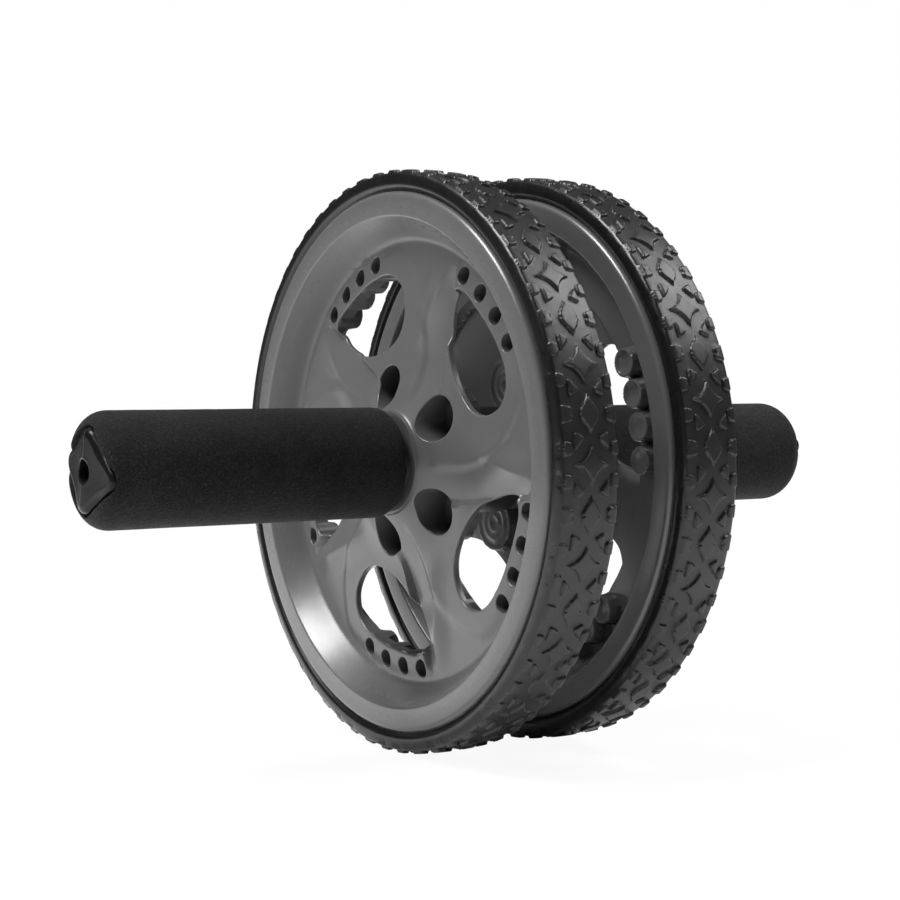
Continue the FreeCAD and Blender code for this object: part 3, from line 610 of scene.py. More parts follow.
class WheelShape:
    """The shape of one spoke's sector of a wheel, seen along the axle with the pocket on the X axis."""

    SPOKES = 5
    STEPS = 40
    START = math.radians(-30)
    # The window's edge, clockwise from its tip, and the step at which the curve through it is drawn.
    WINDOW = ((53.4, 27.4), (56.2, 24.2), (58.6, 16.2), (60.3, 8.0), (60.8, 0.0), (60.0, -6.5),
              (57.2, -11.4), (52.3, -14.2), (46.8, -13.6), (42.0, -11.0), (38.7, -6.6), (37.3, -0.5),
              (37.3, 6.2), (38.7, 12.6), (41.4, 18.6), (45.1, 23.6), (49.4, 27.0))
    WINDOW_STEP = 0.7
    INNER, OUTER = 16.75, 72.0
    HOLE_TURNS = np.radians((-1.0, 8.0, 17.0, 26.0))
    HOLE_WALL = 2.05
    # Pockets and small holes: rounding of the edge and height of the floor.
    POCKET, HOLE = (0.4, -4.3), (0.35, -4.8)
    # Foot of their walls: share of the radius and height above the floor.
    BLIND = ((1.0, 0.8), (0.97, 0.25), (0.88, 0.0), (0.45, 0.0))
    # Ends of their bosses on the inner face: distance from the boss's middle and height.
    HOLE_END = ((0.0, -5.2), (1.2, -5.28), (2.4, -5.6), (3.3, -6.05), (3.55, -6.32), (3.85, -6.4),
                (4.15, -6.36), (4.38, -6.2), (4.5, -5.9), (4.95, -0.6), (5.2, 0.5))
    POCKET_END = ((0.0, -4.9), (1.2, -4.95), (1.7, -5.35), (2.2, -5.6), (2.8, -5.6), (3.2, -5.25),
                  (4.6, -5.15), (5.2, -5.5), (5.8, -5.5), (6.2, -5.2), (7.6, -5.2), (8.0, -5.55),
                  (8.4, -5.7), (8.9, -5.7), (9.2, -5.5), (9.32, -5.1), (9.6, -0.6), (9.9, 0.5))
    # The rib behind the small holes, and the rounding of the windows' edges on the inner face.
    RIB_START, RIB_RUN, RIB_DEPTH = 58.8, 2.2, 3.0
    BACK_ROUND = 0.3
    # Radii with closer points: the hub's foot, the rib's side and the bowl's foot.
    HUB_RINGS = (17.4, 18.1, 18.9, 19.8)
    RIB_RINGS = (58.4, 59.0, 59.6, 60.2, 60.9)
    BOWL_RINGS = (68.6, 69.2, 69.7, 70.2, 70.7, 71.2)
    # The ridge and the crease on either side of the valley: a spot, the turn and offsets of closer points.
    RIDGE = (14.5, 20.7), math.radians(21.8), (-0.4, 0.0, 0.25, 0.5, 1.0, 1.8)
    CREASE = (37.3, 15.9), math.radians(42.5), (-0.8, 0.0, 0.4, 0.8, 1.2, 1.6)
    RIDGE_RUN, CREASE_RUN = 0.8, 1.6
    # The valley's depth along the ridge, and the bank that falls away behind the ridge.
    VALLEY_ALONG = ((4.0, 0.0), (14.0, 0.35), (26.0, 0.8), (34.0, 1.0), (37.0, 0.85), (40.0, 0.45),
                    (43.5, 0.1), (45.0, 0.0))
    BANK, BANK_RUN = 0.7, 8.0
    # The pad's lower edge, a bent line.
    PAD_LOW, PAD_PLACE, PAD_BENDS, PAD_RUN = -25.0, 45.0, (0.0131, 0.022), 2.4
    # Start and run where the relief fades in at the hub and out at the bowl, and where the pad fades in.
    FADE_IN, FADE_OUT, PAD_FADE = (18.5, 5.0), (64.5, 4.5), (8.0, 6.0)
    # The hub: rounding of the collar's edge as inset and drop, seat of a bush's flange and bore.
    COLLAR_EDGE = ((0.0, 0.9), (0.06, 0.45), (0.25, 0.12), (0.6, 0.0))
    SEAT, SEAT_DEPTH, BORE = 11.55, 1.5, 8.6

    def __init__(self, sizes):
        size = self.size = in_mm(sizes)
        self.web_back = size.web_front - size.web_thick
        self.front_path, self.front_rim = self.outline(1, size.web_front)
        self.back_path, self.back_rim = self.outline(-1, self.web_back)
        self.turns = self.START + np.arange(self.STEPS + 1) * 2 * math.pi / self.SPOKES / self.STEPS
        self.hole_spots = size.hole_place * ways(self.HOLE_TURNS)
        self.pocket_spot = np.array((size.pocket_place, 0.0))
        self.window = self.window_outline(sizes.window_scale)
        along = np.roll(self.window, -1, axis=0) - np.roll(self.window, 1, axis=0)
        along /= np.linalg.norm(along, axis=1)[:, None]
        self.window_out = np.stack((-along[:, 1], along[:, 0]), -1)
        rounding = size.window_round
        self.ledge = self.front(self.window + self.window_out * rounding) - rounding - 0.1

    def outline(self, way, web):
        """Half of the turned profile: the part that is filled flat, to the bowl, and the rim that is turned."""
        size = self.size
        face = size.rim_half * way
        lip = size.rim_radius - size.lip_width
        bowl = size.bowl_radius
        climb = (self.OUTER - bowl) / (lip - bowl)
        hub = [(self.INNER, web, 0)]
        if way > 0:
            reach = size.flare_radius - self.INNER
            hub = [(size.flare_radius - part * reach, web + size.flare_rise * part ** 2, 0)
                   for part in np.linspace(1, 0, 18)]
        rim = ((bowl, web, 1.5), (self.OUTER, web + (face - web) * climb, 0),
               (lip, face, size.lip_inner_round), (size.rim_radius, face, size.lip_round),
               (size.rim_radius, face - 2.0 * way, 0), (size.rim_radius - 2.5, face - 2.0 * way, 0))
        path = rounded_path([*hub, *rim])
        at = int(np.argmin(np.abs(path[:, 0] - self.OUTER)))
        return path[:at + 1], path[at:]

    def window_outline(self, scale):
        """The window's edge, clockwise, a smooth curve through its drawn points."""
        drawn = np.array(self.WINDOW)
        centre = drawn.mean(0)
        drawn = centre + (drawn - centre) * scale
        before, after, last = [np.roll(drawn, -ahead, axis=0) for ahead in (-1, 1, 2)]
        curve = []
        for part in np.linspace(0, 1, 10, endpoint=False):
            curve.append(0.5 * (2 * drawn + (after - before) * part
                                + (2 * before - 5 * drawn + 4 * after - last) * part ** 2
                                + (3 * drawn - before - 3 * after + last) * part ** 3))
        return evenly(np.swapaxes(np.array(curve), 0, 1).reshape(-1, 2), self.WINDOW_STEP)

    def relief(self, points):
        """Height of the pads and valleys above the plain web, the same for every spoke."""
        total = np.zeros(len(points))
        for spoke in (-1, 0, 1):
            total += self.one_relief(swung(points, -spoke * 2 * math.pi / self.SPOKES))
        radius = np.linalg.norm(points, axis=1)
        return total * fade(radius, *self.FADE_IN) * (1 - fade(radius, *self.FADE_OUT))

    def one_relief(self, points):
        across, up = points.T
        spot, turn, _ = self.RIDGE
        right, high = across - spot[0], up - spot[1]
        along = right * math.cos(turn) + high * math.sin(turn)
        below = right * math.sin(turn) - high * math.cos(turn)
        spot, turn, _ = self.CREASE
        above = (up - spot[1]) * math.cos(turn) - (across - spot[0]) * math.sin(turn)
        part = np.clip(below / np.maximum(below + above, 1e-6), 0, 1)
        slope = part * smooth(below / self.RIDGE_RUN)
        step = smooth(-above / self.CREASE_RUN)
        bank = -self.BANK * smooth(1 + below / self.BANK_RUN)
        valley = np.where(above > 0, slope * (1 + self.BANK) - self.BANK, 1 - step)
        flank = np.where(below <= 0, bank, valley)
        deep = np.interp(along, *np.array(self.VALLEY_ALONG).T) * self.size.valley_depth
        bends = np.where(across < self.PAD_PLACE, *self.PAD_BENDS)
        pad = smooth((up - self.PAD_LOW - bends * (across - self.PAD_PLACE) ** 2) / self.PAD_RUN) * step
        pad *= fade(across, *self.PAD_FADE)
        return pad * self.size.pad_rise - deep * flank

    def lines(self):
        """Points along the relief's ridge and crease, brought into this sector."""
        found = []
        for spot, turn, offsets in (self.RIDGE, self.CREASE):
            way = np.array((math.cos(turn), math.sin(turn)))
            side = np.array((way[1], -way[0]))
            for off in offsets:
                found.append(np.array(spot) + side * off + np.arange(-12, 46, 0.9)[:, None] * way)
        found = np.vstack(found)
        radius = np.linalg.norm(found, axis=1)
        turns = (np.arctan2(found[:, 1], found[:, 0]) - self.START) % (2 * math.pi / self.SPOKES) + self.START
        keep = (radius > 20) & (radius < 66)
        return (radius[:, None] * ways(turns))[keep]

    def front(self, points):
        return np.interp(np.linalg.norm(points, axis=1), *self.front_path.T) + self.relief(points)

    def back(self, points):
        radius = np.linalg.norm(points, axis=1)
        level = np.interp(radius, *self.back_path.T)
        rib = self.web_back - self.RIB_DEPTH * fade(radius, self.RIB_START, self.RIB_RUN)
        level = np.minimum(np.minimum(level, rib), self.front(points) - self.size.web_thick)
        bosses = [(self.pocket_spot, self.POCKET_END)] + [(spot, self.HOLE_END) for spot in self.hole_spots]
        for spot, end in bosses:
            for spoke in (-1, 0, 1):
                away = np.linalg.norm(points - swung(spot, spoke * 2 * math.pi / self.SPOKES), axis=1)
                level = np.minimum(level, np.interp(away, *np.array(end).T, right=9.0))
        return level

    def boundary(self):
        """The sector's edge: out along one side, round the bowl, back along the other and round the hub."""
        radii = np.linspace(self.INNER, self.OUTER, 40)
        inner, outer = [radius * ways(self.turns) for radius in (self.INNER, self.OUTER)]
        first, last = [radii[1:-1, None] * np.array((math.cos(turn), math.sin(turn)))
                       for turn in (self.turns[0], self.turns[-1])]
        return np.vstack((first, outer, last[::-1], inner[::-1]))

    def grid(self, radii, spacing):
        """Points on rings through the sector, every other ring shifted by half a step."""
        points = []
        whole = self.turns[-1] - self.turns[0]
        for number, radius in enumerate(radii):
            count = max(8, round(radius * whole / spacing))
            turns = self.turns[0] + (np.arange(count) + 0.5 * (number % 2)) / count * whole
            points.append(radius * ways(turns))
        return np.vstack(points)

    def add_front(self, skin):
        size = self.size
        blind = [(self.pocket_spot, size.pocket_radius, 48, *self.POCKET)]
        blind += [(spot, size.hole_radius, 28, *self.HOLE) for spot in self.hole_spots]
        cuts = [(self.window, self.window_out, size.window_round, self.ledge, None)]
        for spot, radius, count, edge, floor in blind:
            loop = ring(radius, count, spot)
            cuts.append((loop, (loop - spot) / radius, edge, floor, spot))
        tops = [loop + out * edge for loop, out, edge, _, _ in cuts]
        spread = [top + out * more for top, (_, out, *_) in zip(tops, cuts) for more in (0.5, 1.1)]
        spread += [self.lines(), self.grid(self.HUB_RINGS, 1.0), self.grid(self.BOWL_RINGS, 1.6),
                   self.grid(np.arange(20.8, 68.2, 1.3), 1.4)]
        corners, faces = filled(self.boundary(), tops, np.vstack(spread), 0.42)
        skin.add(raised(corners, self.front(corners)), faces)
        for (loop, out, edge, floor, spot), top in zip(cuts, tops):
            level = self.front(top)
            strip = []
            # The rounding's mark peaks halfway round; the finish paints it as a pale line, partly wear, partly
            # painted highlight.
            for turn in np.linspace(0, math.pi / 2, 5):
                places = loop + out * edge * (1 - math.sin(turn))
                strip.append((raised(places, level - edge * (1 - math.cos(turn))), math.sin(2 * turn)))
            if spot is None:
                skin.strip([*strip, (raised(loop, floor), 0.0)])
                continue
            radius = np.linalg.norm(loop[0] - spot)
            # Their walls and floors carry the mark -1, which the finish paints as shade.
            strip += [(raised(spot + out * radius * part, floor + rise), -1.0) for part, rise in self.BLIND]
            skin.strip(strip)
            count = len(loop)
            fan = [(step, (step + 1) % count, count) for step in range(count)]
            skin.add(np.vstack((strip[-1][0], (*spot, floor))), fan, -1.0)

    def scalloped(self):
        """The window's edge where the small holes' bosses stand into it."""
        edge = self.window.copy()
        reach = self.size.hole_radius + self.HOLE_WALL
        for spot in self.hole_spots:
            away = np.linalg.norm(edge - spot, axis=1)
            near = away < reach
            edge[near] = spot + (edge[near] - spot) / away[near, None] * reach
        return edge

    def add_back(self, skin):
        edge = self.scalloped()
        foot = edge + self.window_out * self.BACK_ROUND
        spread = [foot + self.window_out * 0.6]
        bosses = ((self.HOLE_END, self.hole_spots, 26), (self.POCKET_END, [self.pocket_spot], 44))
        for end, spots, count in bosses:
            for away, _ in end[1:]:
                number = count if away > 0.3 * end[-1][0] else round(0.4 * count)
                spread += [ring(away, number, spot) for spot in spots]
            spread.append(np.array(spots))
        spread += [self.grid(self.RIB_RINGS, 1.4), self.grid(self.BOWL_RINGS, 1.6),
                   self.grid(np.arange(20.0, 68.2, 2.0), 2.0)]
        corners, faces = filled(self.boundary(), [foot], np.vstack(spread), 0.16)
        skin.add(raised(corners, self.back(corners)), faces)
        level = self.back(foot)
        # The rounded edge of the windows on the inner face is marked paler too: wear and painted highlight.
        skin.strip([(raised(foot, level), 0.3), (raised(edge, level + self.BACK_ROUND), 0.6),
                    (raised(edge, self.ledge), 0.0), (raised(self.window, self.ledge), 0.0)])

    def worn(self, radius, height):
        """1 on the rounded edges of the rim's lips, 0 elsewhere; the finish paints them paler, partly as wear,
        partly as a painted highlight.
        """
        lip = self.size.rim_radius
        inner = lip - self.size.lip_width
        on_outer = lip - 1.2 < radius < lip - 0.02 and abs(height) > 9.3
        on_inner = abs(radius - inner) < 0.55 and abs(height) > 9.9
        return 1.0 if on_outer or on_inner else 0.0

    def sector(self):
        skin = Skin()
        self.add_front(skin)
        self.add_back(skin)
        rim = np.vstack((self.front_rim, self.back_rim[::-1]))
        skin.net(spun(rim, self.turns), [self.worn(*spot) for spot in rim])
        top, collar = self.size.collar_top, self.size.collar_radius
        edge = np.array([(collar - inset, top - drop) for inset, drop in self.COLLAR_EDGE])
        seat = [(collar - 1.2, top, 0), (self.SEAT, top, 0.3), (self.SEAT, top - self.SEAT_DEPTH, 0),
                (self.BORE, top - self.SEAT_DEPTH, 0.2)]
        bore = rounded_path(seat + [(radius, -height, rounding) for radius, height, rounding in seat[::-1]], 3)
        hub = np.vstack((edge, bore, (edge * (1, -1))[::-1]))
        foot = self.INNER * ways(self.turns)
        skin.net([raised(foot, self.front(foot)), *spun(hub, self.turns), raised(foot, self.back(foot))])
        return skin


class TreadShape:
    """A quarter of a repeat of the tread, unrolled: along from a star to a diamond, across from the middle."""

    # The star's reach along and across and its waist, the diamond's reach along and across, a leaf's corners.
    STAR = (5.75, 5.9, 0.34)
    DIAMOND = (5.5, 3.05)
    LEAF = ((4.25, 5.75), (9.35, 5.75), (7.7, 2.65))
    # The shoulder lugs: place, half lengths at the shoulder and inside, place of the inner end across.
    LUGS = ((4.65, 2.2, 1.62, 7.0), (14.37, 2.6, 1.9, 6.2))
    LUG_REACH = 9.3
    # Height of a block by the distance outside its outline, as a share of the whole.
    EDGE = ((-0.5, 1.0), (-0.24, 0.97), (-0.08, 0.84), (0.02, 0.2), (0.22, 0.03), (0.45, 0.0))
    STEPS = 12
    # The bead below the sidewall as radius, inset and rounding, and the seat on the rim.
    BEAD = ((86.1, 0.0, 1.7), (84.9, 1.2, 0.25), (84.6, 1.35, 0))
    SEAT_TOP, SEAT, SEAT_HALF = 84.55, 82.05, 8.85

    def __init__(self, sizes):
        size = in_mm(sizes)
        self.top, self.half, self.flat = size.top_radius, size.half, size.flat_half
        self.block, self.shoulder, self.crown = size.block_height, size.shoulder, size.crown
        self.repeats = sizes.repeats
        self.pitch = 2 * math.pi * self.top / self.repeats
        self.blocks = [smoothed(evenly(np.array(loop), 0.3), 3) for loop in self.outlines()]

    def outlines(self):
        along, across, waist = self.STAR
        points = [np.array(spot) for spot in ((along, 0), (0, across), (-along, 0), (0, -across))]
        star = []
        for first, second in zip(points, points[1:] + points[:1]):
            pull = 2 * (waist * (first + second)) - (first + second) / 2
            for part in np.linspace(0, 1, 12, endpoint=False):
                star.append((1 - part) ** 2 * first + 2 * part * (1 - part) * pull + part ** 2 * second)
        run, tall = self.DIAMOND
        reach = np.linspace(-run, run, 41)
        bell = tall * (0.5 + 0.5 * np.cos(math.pi * reach / run)) ** 0.8
        upper = np.stack((reach + self.pitch / 2, bell), -1)
        lower = (upper * (1, -1))[::-1]
        loops = [np.array(star), np.vstack((upper, lower[1:-1])), np.array(self.LEAF)]
        for place, outer, inner, depth in self.LUGS:
            loops.append(np.array(((place - outer, self.LUG_REACH), (place + outer, self.LUG_REACH),
                                   (place + inner, depth), (place - inner, depth))))
        return loops

    def rise(self, points):
        """Share of the blocks' height at each place."""
        found = np.zeros(len(points))
        for loop in self.blocks:
            found = np.maximum(found, np.interp(distance(points, loop), *np.array(self.EDGE).T))
        return found

    def base(self, across):
        """Fall of the carcass towards its shoulder."""
        over = np.clip((across - self.flat) / (self.half - self.flat), 0, 1)
        return -self.shoulder * (1 - np.sqrt(1 - over * over)) - self.crown * (across / self.half) ** 2

    def quarter(self):
        length_half = self.pitch / 2
        along = np.linspace(0, length_half, self.STEPS + 1)
        bend = np.sin(np.linspace(0, math.pi / 2, 8))
        across = np.concatenate((np.linspace(0, self.flat, 10),
                                 self.flat + (self.half - self.flat) * bend[1:]))
        sides = [np.column_stack((along, np.zeros_like(along))),
                 np.column_stack((np.full(len(across) - 1, length_half), across[1:])),
                 np.column_stack((along[::-1], np.full(len(along), self.half)))[1:],
                 np.column_stack((np.zeros(len(across) - 2), across[::-1][1:-1]))]
        spread = []
        for loop in self.blocks:
            out = np.roll(loop, -1, axis=0) - np.roll(loop, 1, axis=0)
            out = np.stack((out[:, 1], -out[:, 0]), -1) / np.linalg.norm(out, axis=1)[:, None]
            if distance(loop[:1] + out[:1] * 0.05, loop)[0] < 0:
                out = -out
            for off, _ in self.EDGE:
                moved = (loop + out * off)[::2]
                spread.append(moved[np.abs(distance(moved, loop) - off) < 0.04])
        spread.append(np.stack(np.meshgrid(along[1:-1], across[1:-1]), -1).reshape(-1, 2))
        points = np.vstack(spread)
        within = ((points > (0.1, 0.1)) & (points < (length_half - 0.1, self.half - 0.04))).all(1)
        return filled(np.vstack(sides), [], points[within], 0.11)

    def add_sidewalls(self, skin):
        """Both sidewalls, beads and the seat, turned in step with the tread."""
        low = self.top - self.block - self.shoulder - self.crown
        wall = [(low, self.half, 0)]
        wall += [(radius, self.half - inset, rounding) for radius, inset, rounding in self.BEAD]
        wall += [(self.SEAT_TOP, self.SEAT_HALF, 0), (self.SEAT, self.SEAT_HALF, 0), (self.SEAT, 0.0, 0)]
        path = rounded_path(wall, 4)
        whole = np.vstack((path, (path * (1, -1))[::-1][1:]))
        turns = np.arange(2 * self.STEPS * self.repeats) * math.pi / self.STEPS / self.repeats
        skin.net(spun(whole, turns), closed=True)

    def tyre(self):
        """The quarter mirrored along and across, repeated round the tyre and closed by the sidewalls."""
        corners, faces = self.quarter()
        along, across = corners.T
        rise = self.rise(corners)
        radius = self.top - self.block + self.block * rise + self.base(across)
        skin = Skin()
        for along_way in (1, -1):
            turn = along_way * along / self.pitch * 2 * math.pi / self.repeats
            for across_way in (1, -1):
                skin.add(raised(radius[:, None] * ways(turn), across_way * across), faces, rise)
        whole = skin.repeated(around(self.repeats))
        self.add_sidewalls(whole)
        return whole


def on_axle(side, along, turn=0.0):
    """Where a piece drawn about its own Z sits on the axle: Z points outwards."""
    base = Matrix(((0, 0, side, side * along), (side, 0, 0, 0), (0, 1, 0, AXLE_HEIGHT), (0, 0, 0, 1)))
    return base @ Matrix.Rotation(turn, 4, "Z")


def shown(name, mesh, material, place, body, node):
    """Put a piece in the scene in place of its solid, riding on its body."""
    piece = bpy.data.objects.new(name, mesh)
    bpy.context.scene.collection.objects.link(piece)
    if not mesh.materials:
        mesh.materials.append(material)
    piece.matrix_world = place
    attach(piece, body)
    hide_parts(node)
    return piece


def shown_pair(sizes, mesh, material, label, node):
    """Put a copy of a mesh on each wheel's body, turned in itself so that its box stays square to the axle."""
    for name, side in SIDES:
        copy = mesh.copy()
        copy.transform(Matrix.Rotation(getattr(sizes, f"{name}_turn"), 4, "Z"))
        shown(f"{name}_{label}", copy, material, on_axle(side, WHEEL_PLACE), f"{name}_wheel_body",
              f"{name}_{node}")


class ROLLER_OT_wheels(bpy.types.Operator):
    """Build both moulded wheels with their spokes, windows, pockets and small holes"""
    bl_idname = "roller.wheels"
    bl_label = "Wheels"

    def execute(self, context):
        sizes = context.scene.roller_wheel
        shape = WheelShape(sizes)
        mesh = shape.sector().repeated(around(shape.SPOKES)).mesh("moulded_wheel")
        material = wheel_plastic(context.scene.roller_colours.wheel)
        shown_pair(sizes, mesh, material, "moulded_wheel", "wheel")
        return {"FINISHED"}


class ROLLER_OT_tyres(bpy.types.Operator):
    """Build both rubber tyres with their tread blocks"""
    bl_idname = "roller.tyres"
    bl_label = "Tyres"

    def execute(self, context):
        sizes = context.scene.roller_tyre
        paint = context.scene.roller_colours
        mesh = TreadShape(sizes).tyre().mesh("treaded_tyre", math.radians(50))
        material = tyre_rubber(paint.tread, paint.sidewall)
        shown_pair(sizes, mesh, material, "treaded_tyre", "tyre")
        return {"FINISHED"}


def cap_reach(sizes, turns):
    """Distance of the cap's outline at each turn: a square on its corner with rounded corners."""
    rounding = sizes.corner_round / MM
    centre = sizes.corner / MM - rounding
    off = np.abs((turns + math.pi / 4) % (math.pi / 2) - math.pi / 4)
    side = centre * math.sqrt(0.5) + rounding
    ends = math.atan2(rounding * math.sqrt(0.5), centre + rounding * math.sqrt(0.5))
    arc = centre * np.cos(off) + np.sqrt(np.maximum(rounding ** 2 - (centre * np.sin(off)) ** 2, 0))
    return np.where(off < ends, arc, side / np.cos(math.pi / 4 - off))


class ROLLER_OT_grips(bpy.types.Operator):
    """Build both foam grips, a little uneven as cut foam is, and the tubes inside them"""
    bl_idname = "roller.grips"
    bl_label = "Foam grips"

    SEGMENTS = 168
    # The tube: its bore, its gap to the foam and the length by which it stops short of the end cap.
    CORE_BORE, CORE_GAP, CORE_SHORT = 10.0, 0.05, 3.0
    # How deep the end cap presses the foam in, and where and over what run the foam rises round it.
    DENT, DENT_GAP, DENT_RUN = 2.6, 0.1, 1.0
    # Waves and pores in the foam: spacing, and the shift that makes the two grips differ.
    WAVE, PORE = ((9.0, 9.0, 16.0), 7.0), ((1.7, 1.7, 1.7), 40.0)

    def execute(self, context):
        sizes = context.scene.roller_grip
        material = grip_foam(context.scene.roller_colours.foam)
        core = satin_plastic("core_plastic", context.scene.roller_colours.spacer, 0.5)
        for name, side in SIDES:
            low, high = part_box(f"{name}_grip")
            place = on_axle(side, min(abs(low.x), abs(high.x)))
            run = (high.x - low.x - sizes.shrink) / MM
            foam = self.sleeve(sizes, context.scene.roller_cap, run, side).mesh(f"{name}_foam")
            tube = self.tube(sizes.bore / MM - self.CORE_GAP, run - self.CORE_SHORT).mesh(f"{name}_core")
            shown(f"{name}_core_tube", tube, core, place, "handle", f"{name}_handle_core")
            piece = shown(f"{name}_foam_grip", foam, material, place, "handle", f"{name}_grip")
        return {"FINISHED"}

    def tube(self, radius, run):
        """The handle core inside the foam, a plain tube."""
        bore = self.CORE_BORE
        path = ((bore, 0.0), (radius, 0.0), (radius, run), (bore, run), (bore, 0.0))
        skin = Skin()
        skin.net(spun(path, around(self.SEGMENTS)), closed=True)
        return skin

    def dented(self, rows, cap, floor):
        """The foam pressed in where the end cap sits, with a soft lip round the cap's outline."""
        flat = swung(rows[..., :2].reshape(-1, 2), cap.turn) / (cap.stretch, 1.0)
        gap = np.linalg.norm(flat, axis=1) - cap_reach(cap, np.arctan2(flat[:, 1], flat[:, 0]))
        press = (1 - fade(gap, self.DENT_GAP, self.DENT_RUN)).reshape(rows.shape[:2])
        rows[..., 2] -= press * np.maximum(rows[..., 2] - floor, 0.0)

    def sleeve(self, sizes, cap, run, side):
        """The foam: out of the bore, round the end at the wheel, along, round the free end and back in."""
        size = in_mm(sizes)
        radius, bore, end, start = size.radius, size.bore, size.end_round, size.wheel_round
        path = [(bore, 0.0)]
        path += [(radius - start + start * math.sin(turn), start - start * math.cos(turn))
                 for turn in np.linspace(0, math.pi / 2, 10)]
        tail = radius - end
        whole = run + (end - math.sqrt(end ** 2 - (bore - tail) ** 2))
        path += [(radius, place) for place in np.linspace(start, whole - end, 42)[1:-1]]
        last = math.acos((bore - tail) / end)
        path += [(tail + end * math.cos(turn), whole - end + end * math.sin(turn))
                 for turn in np.linspace(0, last, 30)]
        path += [(bore, place) for place in np.linspace(run * 0.95, 0.0, 6)]
        rows = spun(path, around(self.SEGMENTS))
        self.dented(rows, cap, run - self.DENT)
        for corner in (corner for row in rows for corner in row):
            away = math.hypot(corner[0], corner[1])
            if away > bore + 0.5:
                wave, pore = [noise.noise(Vector(corner / spacing + (0.0, 0.0, shift * side)))
                              for spacing, shift in (self.WAVE, self.PORE)]
                corner[:2] *= 1 - size.swell * (0.5 + 0.4 * wave + 0.25 * pore) / away
        skin = Skin()
        skin.net(rows, closed=True)
        return skin


class ROLLER_OT_end_caps(bpy.types.Operator):
    """Build both gloss end caps with their crest, rounded edge, hole and plug"""
    bl_idname = "roller.end_caps"
    bl_label = "End caps"

    SEGMENTS = 144
    # The hole's wall and rounded edge, the softness of the crest and the least wall below the front edge.
    HOLE_WALL, HOLE_EDGE, CREST_SOFT, EDGE_WALL = 1.2, 0.35, 0.15, 0.12
    # The hollow plug as radius and height.
    PLUG = ((9.95, 0.0), (9.95, -3.2), (7.55, -3.2), (7.55, 0.0))

    def execute(self, context):
        sizes = context.scene.roller_cap
        material = cap_plastic(context.scene.roller_colours.cap)
        mesh = self.cap(sizes).mesh("gloss_cap")
        for name, side in SIDES:
            low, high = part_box(f"{name}_end_cap")
            tip = max(abs(low.x), abs(high.x))
            place = on_axle(side, tip - sizes.sink - sizes.height, -sizes.turn)
            shown(f"{name}_gloss_cap", mesh, material, place, "handle", f"{name}_end_cap")
        return {"FINISHED"}

    def cap(self, sizes):
        """Out of the hole, over the faces, round the edge and back along the plug."""
        size = in_mm(sizes)
        edge, hole, lip = size.edge_round, size.hole, self.HOLE_EDGE
        reach = cap_reach(sizes, around(self.SEGMENTS))
        out = ways(around(self.SEGMENTS))

        def face(places):
            """Height of the two faces that fall from the crest, with a soft crest line."""
            off = np.sqrt(places[:, 0] ** 2 + self.CREST_SOFT) - math.sqrt(self.CREST_SOFT)
            return size.height - size.fall * off / size.corner

        strip = [(raised(out * hole, level), 0.0) for level in (0.0, self.HOLE_WALL)]
        rim = face(out * (hole + lip))
        # The hole's rounded edge carries a mark that the finish paints paler: wear and painted highlight.
        for radius, drop, mark in ((hole, lip, 0.4), (hole + 0.1, 0.1, 1.0), (hole + lip, 0.0, 0.4)):
            strip.append((raised(out * radius, rim - drop), mark))
        for part in np.linspace(0.06, 1.0, 12):
            places = out * (hole + lip + (reach - edge - hole - lip) * part)[:, None]
            strip.append((raised(places, face(places)), 0.0))
        top = face(out * (reach - edge)[:, None])
        # The front edge's rounding is marked paler halfway round: wear and painted highlight.
        for turn in np.linspace(0, math.pi / 2, 7)[1:]:
            places = out * (reach - edge + edge * math.sin(turn))[:, None]
            drop = np.minimum(edge, top - self.EDGE_WALL) * (1 - math.cos(turn))
            strip.append((raised(places, top - drop), math.sin(2 * turn)))
        strip.append((raised(out * reach[:, None], 0.0), 0.0))
        strip += [(raised(out * radius, level), 0.0) for radius, level in (*self.PLUG, (hole, 0.0))]
        # All rows but the hole's and the plug's are stretched, more and more away from the hole.
        for row, _ in strip[5:-5]:
            away = np.hypot(row[:, 0], row[:, 1])
            row[:, 0] *= 1 + (sizes.stretch - 1) * np.clip((away - 5) / 5, 0, 1)
        skin = Skin()
        skin.strip(strip)
        return skin


class ROLLER_OT_hardware(bpy.types.Operator):
    """Give the spacer, bushes, axle, washers and screws their finishes"""
    bl_idname = "roller.hardware"
    bl_label = "Spacer and hardware"

    def execute(self, context):
        paint = context.scene.roller_colours
        steel = plated_steel(paint.steel)
        finishes = {"spacer": satin_plastic("spacer_plastic", paint.spacer, 0.42),
                    "bush": satin_plastic("bush_plastic", paint.bush, 0.45),
                    "axle": steel, "washer": steel, "screw": steel}
        for node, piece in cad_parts.items():
            if piece.hide_render:
                continue
            word = next((word for word in finishes if word in node), None)
            if word is None:
                raise RuntimeError(f"{node} has no finish")
            piece.data.materials.clear()
            piece.data.materials.append(finishes[word])
        return {"FINISHED"}


